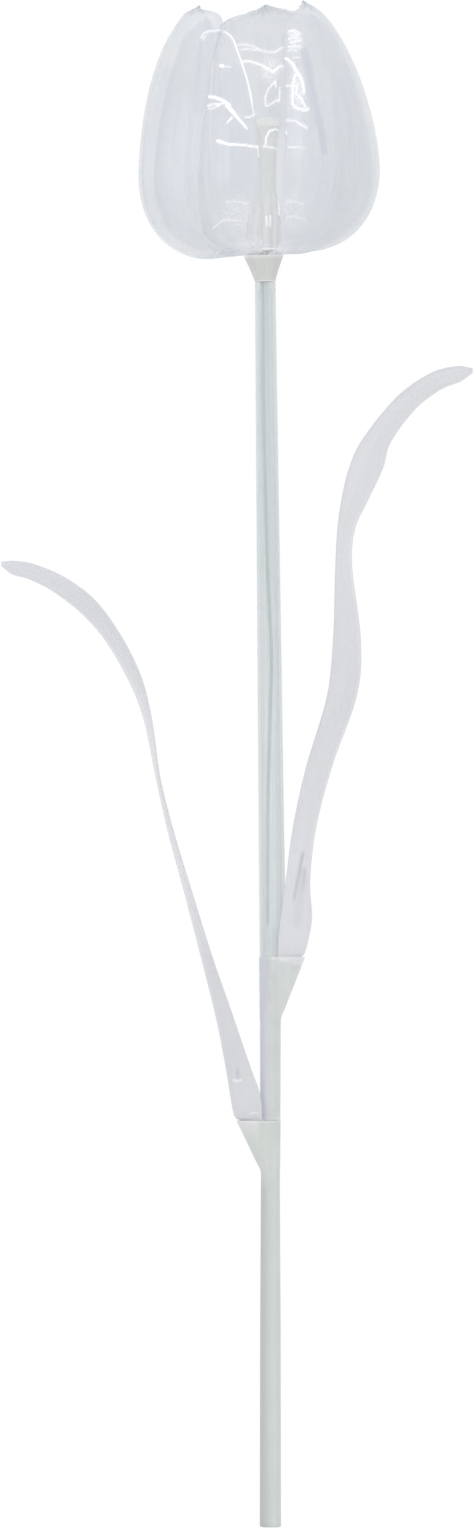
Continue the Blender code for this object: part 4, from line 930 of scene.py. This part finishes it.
for name, petal in petals.items():
    petal = {**plainPetal, **petal}
    closing = head["closingRows"]
    s, t = np.linspace(-1, 1, petal["columns"]), np.linspace(0, 1, petal["rows"] - closing)
    # rows lie closer at the foot and tip, and the last ones close the round top as a circle's points do
    v = (t - 0.4 * np.sin(2 * math.pi * t) / (2 * math.pi)) * 0.996
    v = np.append(v, 1 - 0.004 * (1 - np.sin(np.linspace(0, math.pi / 2, closing + 1)[1:])))
    across, share = np.meshgrid(0.65 * s + 0.35 * np.sin(s * math.pi / 2), v)
    outer = petalSurface(petal, across, share)
    wide, along, length = widths(outer), share * petal["reach"] * petalLength, petal["reach"] * petalLength
    radius = np.hypot(outer[..., 0], outer[..., 1])
    front = placed(outer, "head")
    white, dark = drawn(front, petal["strokes"]), drawn(front, petal["foldShades"])
    veins = head["veinHeight"] * (np.cos(across * math.pi * head["veins"]) - 1) * rise(share, 0.15, 0.4)
    groove = -head["grooveDepth"] * np.exp(-((wide / head["grooveWidth"]) ** 2)) * (1 - rise(share, 0.55, 0.9))
    pleats = head["pleatHeight"] * (np.cos(across * math.pi * head["pleats"]) - 1)
    pleats = pleats * rise(radius, 7, 10) * (1 - rise(radius, 15, 30))
    flutter = head["flutter"] * (np.sin(across * 5 + petal["azimuth"]) - 1) * rise(share, 0.7, 1)
    # each stroke's line stands out on the face that the front view shows: the inner face of the petal at the back
    atBack = petal["azimuth"] < 180
    raised = petal["relief"] * white * (not atBack) - head["foldDepth"] * dark
    lift = veins + groove + pleats + flutter - head["inset"] + raised
    carved = outer + normals(outer) * lift[..., None]
    edge = edgeDistance(wide, along, length)
    thin = head["edgeWall"] + (head["wall"] - head["edgeWall"]) * rise(edge, -0.3, 2.4)
    thin = thin + petal["relief"] * white * atBack + np.maximum(raised, 0)
    rim = np.exp(-((edge / head["rimWidth"]) ** 2)) * rise(share, 0.2, 0.3) * (1 - 0.7 * rise(share, 0.94, 0.97))
    if "faintRim" in petal:
        # the edge that lies over the front petal all but vanishes below this share
        side, low = petal["faintRim"]
        rim = rim * np.where(side * across > 0, rise(share, low - 0.1, low), 1)
    if petal["litRim"]:
        # the round top and the right edge catch the light
        lit = np.where(across > 0, rise(share, 0.66, 0.76), rise(share, 0.95, 0.975))
        glint = np.exp(-(((edge - head["litRimPlace"]) / head["litRimWidth"]) ** 2))
        white, rim = np.maximum(white, head["litRim"] * glint * lit), rim * (1 - lit)
    marks = {
        "rim": rim, "glintLine": white, "foldShade": dark, "crinkleGlint": patches(front, petal["glintingCrinkles"]),
        "thin": patches(front, petal["thin"]), "feet": patches(front, feetFillLight),
    }
    addShell(name, carved, thin, wide, along, marks, petal["finish"], "head", "flower_head")

# the stalk and cap are outlines of (radius, height) above the pistil's foot
pistil = {
    "foot": 9.9, "footRadius": 5.9, "stalk": 3.6, "lean": 0.09, "bendStart": 2, "bendHeight": 8, "lobes": 3,
    "lobeOut": 0.16, "capStart": 39.5, "capHeight": 4.5, "capBulge": 0.8, "peg": 1.6, "pegLow": 4.6,
    "footFlutes": 11, "fluteDepth": 0.22, "ribs": 7, "ribDepth": 0.1, "columns": 180, "stalkRows": 160, "capRows": 22,
}
# painted highlights on the pistil's cap and stalk
pistilStrokes = [
    ((-1.6, 453.2, -1.4, 455.4, -0.3, 457.6, 1.7, 458.2, 3.5, 457.6), 0.6, 0.6, 0.9),
    ((-2.3, 452.5, 1.3, 452.1, 3.3, 451.1), 0.7, 0.5, 0.8),
    ((2.7, 436.7, 2.8, 430.1), 0.6, 0.5, 0.7),
    ((-1.4, 429.4, -1.1, 426.5), 0.5, 0.4, 0.7),
    ((-0.1, 429.8, 0, 426.2), 0.5, 0.4, 0.6),
]
angle = np.linspace(0, 2 * math.pi, pistil["columns"], endpoint=False)
foot, wide, thin, peg = (pistil[part] for part in ("foot", "footRadius", "stalk", "peg"))
stalk = [
    (wide, 0.25), (wide, 5), (wide * 0.95, 10), (4.75, 15), (thin, 20), (thin * 0.94, 30), (thin, pistil["capStart"])
]
stalk = smoothRows(stalk, np.linspace(0, len(stalk) - 1, pistil["stalkRows"]))
turn = np.linspace(0, math.pi / 2, pistil["capRows"])[1:-1]
cap = np.stack([
    thin * np.cos(turn) + pistil["capBulge"] * np.sin(1.6 * turn),
    pistil["capStart"] + pistil["capHeight"] * np.sin(turn),
], 1)
pegFoot = pistil["pegLow"] - foot
base = [(0.3, pegFoot), (peg - 0.2, pegFoot), (peg, pegFoot + 0.3), (peg, -0.05), (peg + 0.1, 0), (wide - 0.25, 0)]
rows = rings(np.vstack([base, stalk, cap]), pistil["columns"])
radii, heights = rows[:, 0], rows[:, 1].copy()
lobed = rise(heights, 36, 41)
radii *= 1 + (pistil["lobeOut"] * np.cos(pistil["lobes"] * (angle - math.pi / 2)) - 0.02) * lobed
fluted = rise(heights, 0.2, 2) * (1 - rise(heights, 12, 22))
flutes, ribs = np.cos(pistil["footFlutes"] * angle) - 1, np.cos(pistil["ribs"] * angle) - 1
radii += pistil["fluteDepth"] * flutes * fluted + pistil["ribDepth"] * ribs * rise(heights, 20, 24) * (1 - lobed)
rows[:, 1] += foot
above = np.maximum(heights[:, 0] - pistil["bendStart"], 0)
bend = pistil["lean"] * above * np.minimum(above / pistil["bendHeight"], 1)
points, faces, maps = turnedMesh(rows, False, bend)
points = placed(points, "head")
x, y, z = points.T
fields = {
    "foot": 1 - rise(z, 428, 438), "glintLine": drawn(points, pistilStrokes) * (y < 0.2), "cap": rise(z, 458.8, 459.6),
    # painted light in the foot's flute valleys and along its bottom edge, where shade falls
    "rim": np.append((-0.17 * fluted * flutes + 1 - rise(heights, 0.2, 1.2)).ravel(), [0, 0]),
}
addPiece("pistil", "moulding", points, faces, maps, fields, pistilFinish, "flower_head", 50)
print("flower done")


# Floor, light and camera

studio = {
    "white": "#ffffff", "floorSize": 8, "floorHeight": -0.0002, "floorGlow": 0.85, "shadowNear": 0.1,
    "shadowFar": 0.4, "skyStrength": 0.92, "frameCentre": (-10.95, 250.1), "frameHeight": 501, "lens": 450,
    "sensor": 36,
}
scene = bpy.context.scene
white = linear(studio["white"])
seenDirectly = ("Is Camera Ray", "Is Glossy Ray", "Is Transmission Ray")

# white matt board: seen directly it glows most of the way to white near the tulip, where the rest shows its soft
# shadow, and all the way farther off
board = bpy.data.materials.new("white_matt_board")
tree = emptyTree(board)
spot = addNode(tree, "TexCoord").outputs["Object"]
apart = addNode(tree, "VectorMath", {"operation": "LENGTH"}, in0=spot).outputs["Value"]
fade = {
    "From Min": studio["shadowNear"], "From Max": studio["shadowFar"], "To Min": studio["floorGlow"], "To Max": 1,
}
glowing = addNode(tree, "MapRange", fade, Value=apart)
share = addNode(tree, "Math", {"operation": "MULTIPLY"}, in0=rayShare(tree, *seenDirectly), in1=glowing)
matt = addNode(tree, "BsdfDiffuse", {"Color": white})
glow = addNode(tree, "Emission", {"Color": white, "Strength": 1})
both = addNode(tree, "MixShader", in0=share, in1=matt, in2=glow)
addNode(tree, "OutputMaterial", Surface=both)

floorMesh = bpy.data.meshes.new("floor")
far, height = studio["floorSize"] / 2, studio["floorHeight"]
corners = [(-far, -far, height), (far, -far, height), (far, far, height), (-far, far, height)]
floorMesh.from_pydata(corners, [], [(0, 1, 2, 3)])
floorMesh.materials.append(board)
floor = bpy.data.objects.new("floor", floorMesh)
scene.collection.objects.link(floor)
floor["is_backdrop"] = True

scene.world = bpy.data.worlds.new("white_studio")
tree = emptyTree(scene.world)
seen = rayShare(tree, *seenDirectly)
level = addNode(tree, "MapRange", {"To Min": studio["skyStrength"], "To Max": 1}, Value=seen)
light = addNode(tree, "Background", {"Color": white}, Strength=level)
addNode(tree, "OutputWorld", Surface=light)

lamps = {
    "key_softbox": {"place": (0.75, -0.95, 0.95), "aim": (-0.01, 0, 0.3), "size": (0.16, 0.7), "watts": 2.2},
    "fill_softbox": {"place": (-0.8, -0.9, 0.5), "aim": (-0.01, 0, 0.3), "size": (0.12, 0.6), "watts": 1.5},
    "top_softbox": {"place": (-0.1, -0.25, 1.3), "aim": (-0.01, 0, 0.45), "size": (0.5, 0.12), "watts": 1.2},
}
for name, lamp in lamps.items():
    data = bpy.data.lights.new(name, "AREA")
    data.shape = "RECTANGLE"
    data.size, data.size_y = lamp["size"]
    data.energy = lamp["watts"]
    item = bpy.data.objects.new(name, data)
    item.location = lamp["place"]
    item.visible_camera = False
    item.rotation_euler = (Vector(lamp["aim"]) - Vector(lamp["place"])).to_track_quat("-Z", "Y").to_euler()
    scene.collection.objects.link(item)

view = bpy.data.cameras.new("photo_camera")
view.lens, view.sensor_width = studio["lens"], studio["sensor"]
view.clip_start, view.clip_end = 0.1, 50
camera = bpy.data.objects.new("photo_camera", view)
centreX, centreZ = studio["frameCentre"]
away = studio["frameHeight"] * studio["lens"] / studio["sensor"]
camera.location = (centreX * mm, -away * mm, centreZ * mm)
camera.rotation_euler = (math.pi / 2, 0, 0)
scene.collection.objects.link(camera)
scene.camera = camera

scene.view_settings.view_transform = "Standard"
scene.cycles.transparent_max_bounces = 64  # rays pass up to a dozen clear walls in the flower
print("studio done")

low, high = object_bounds()
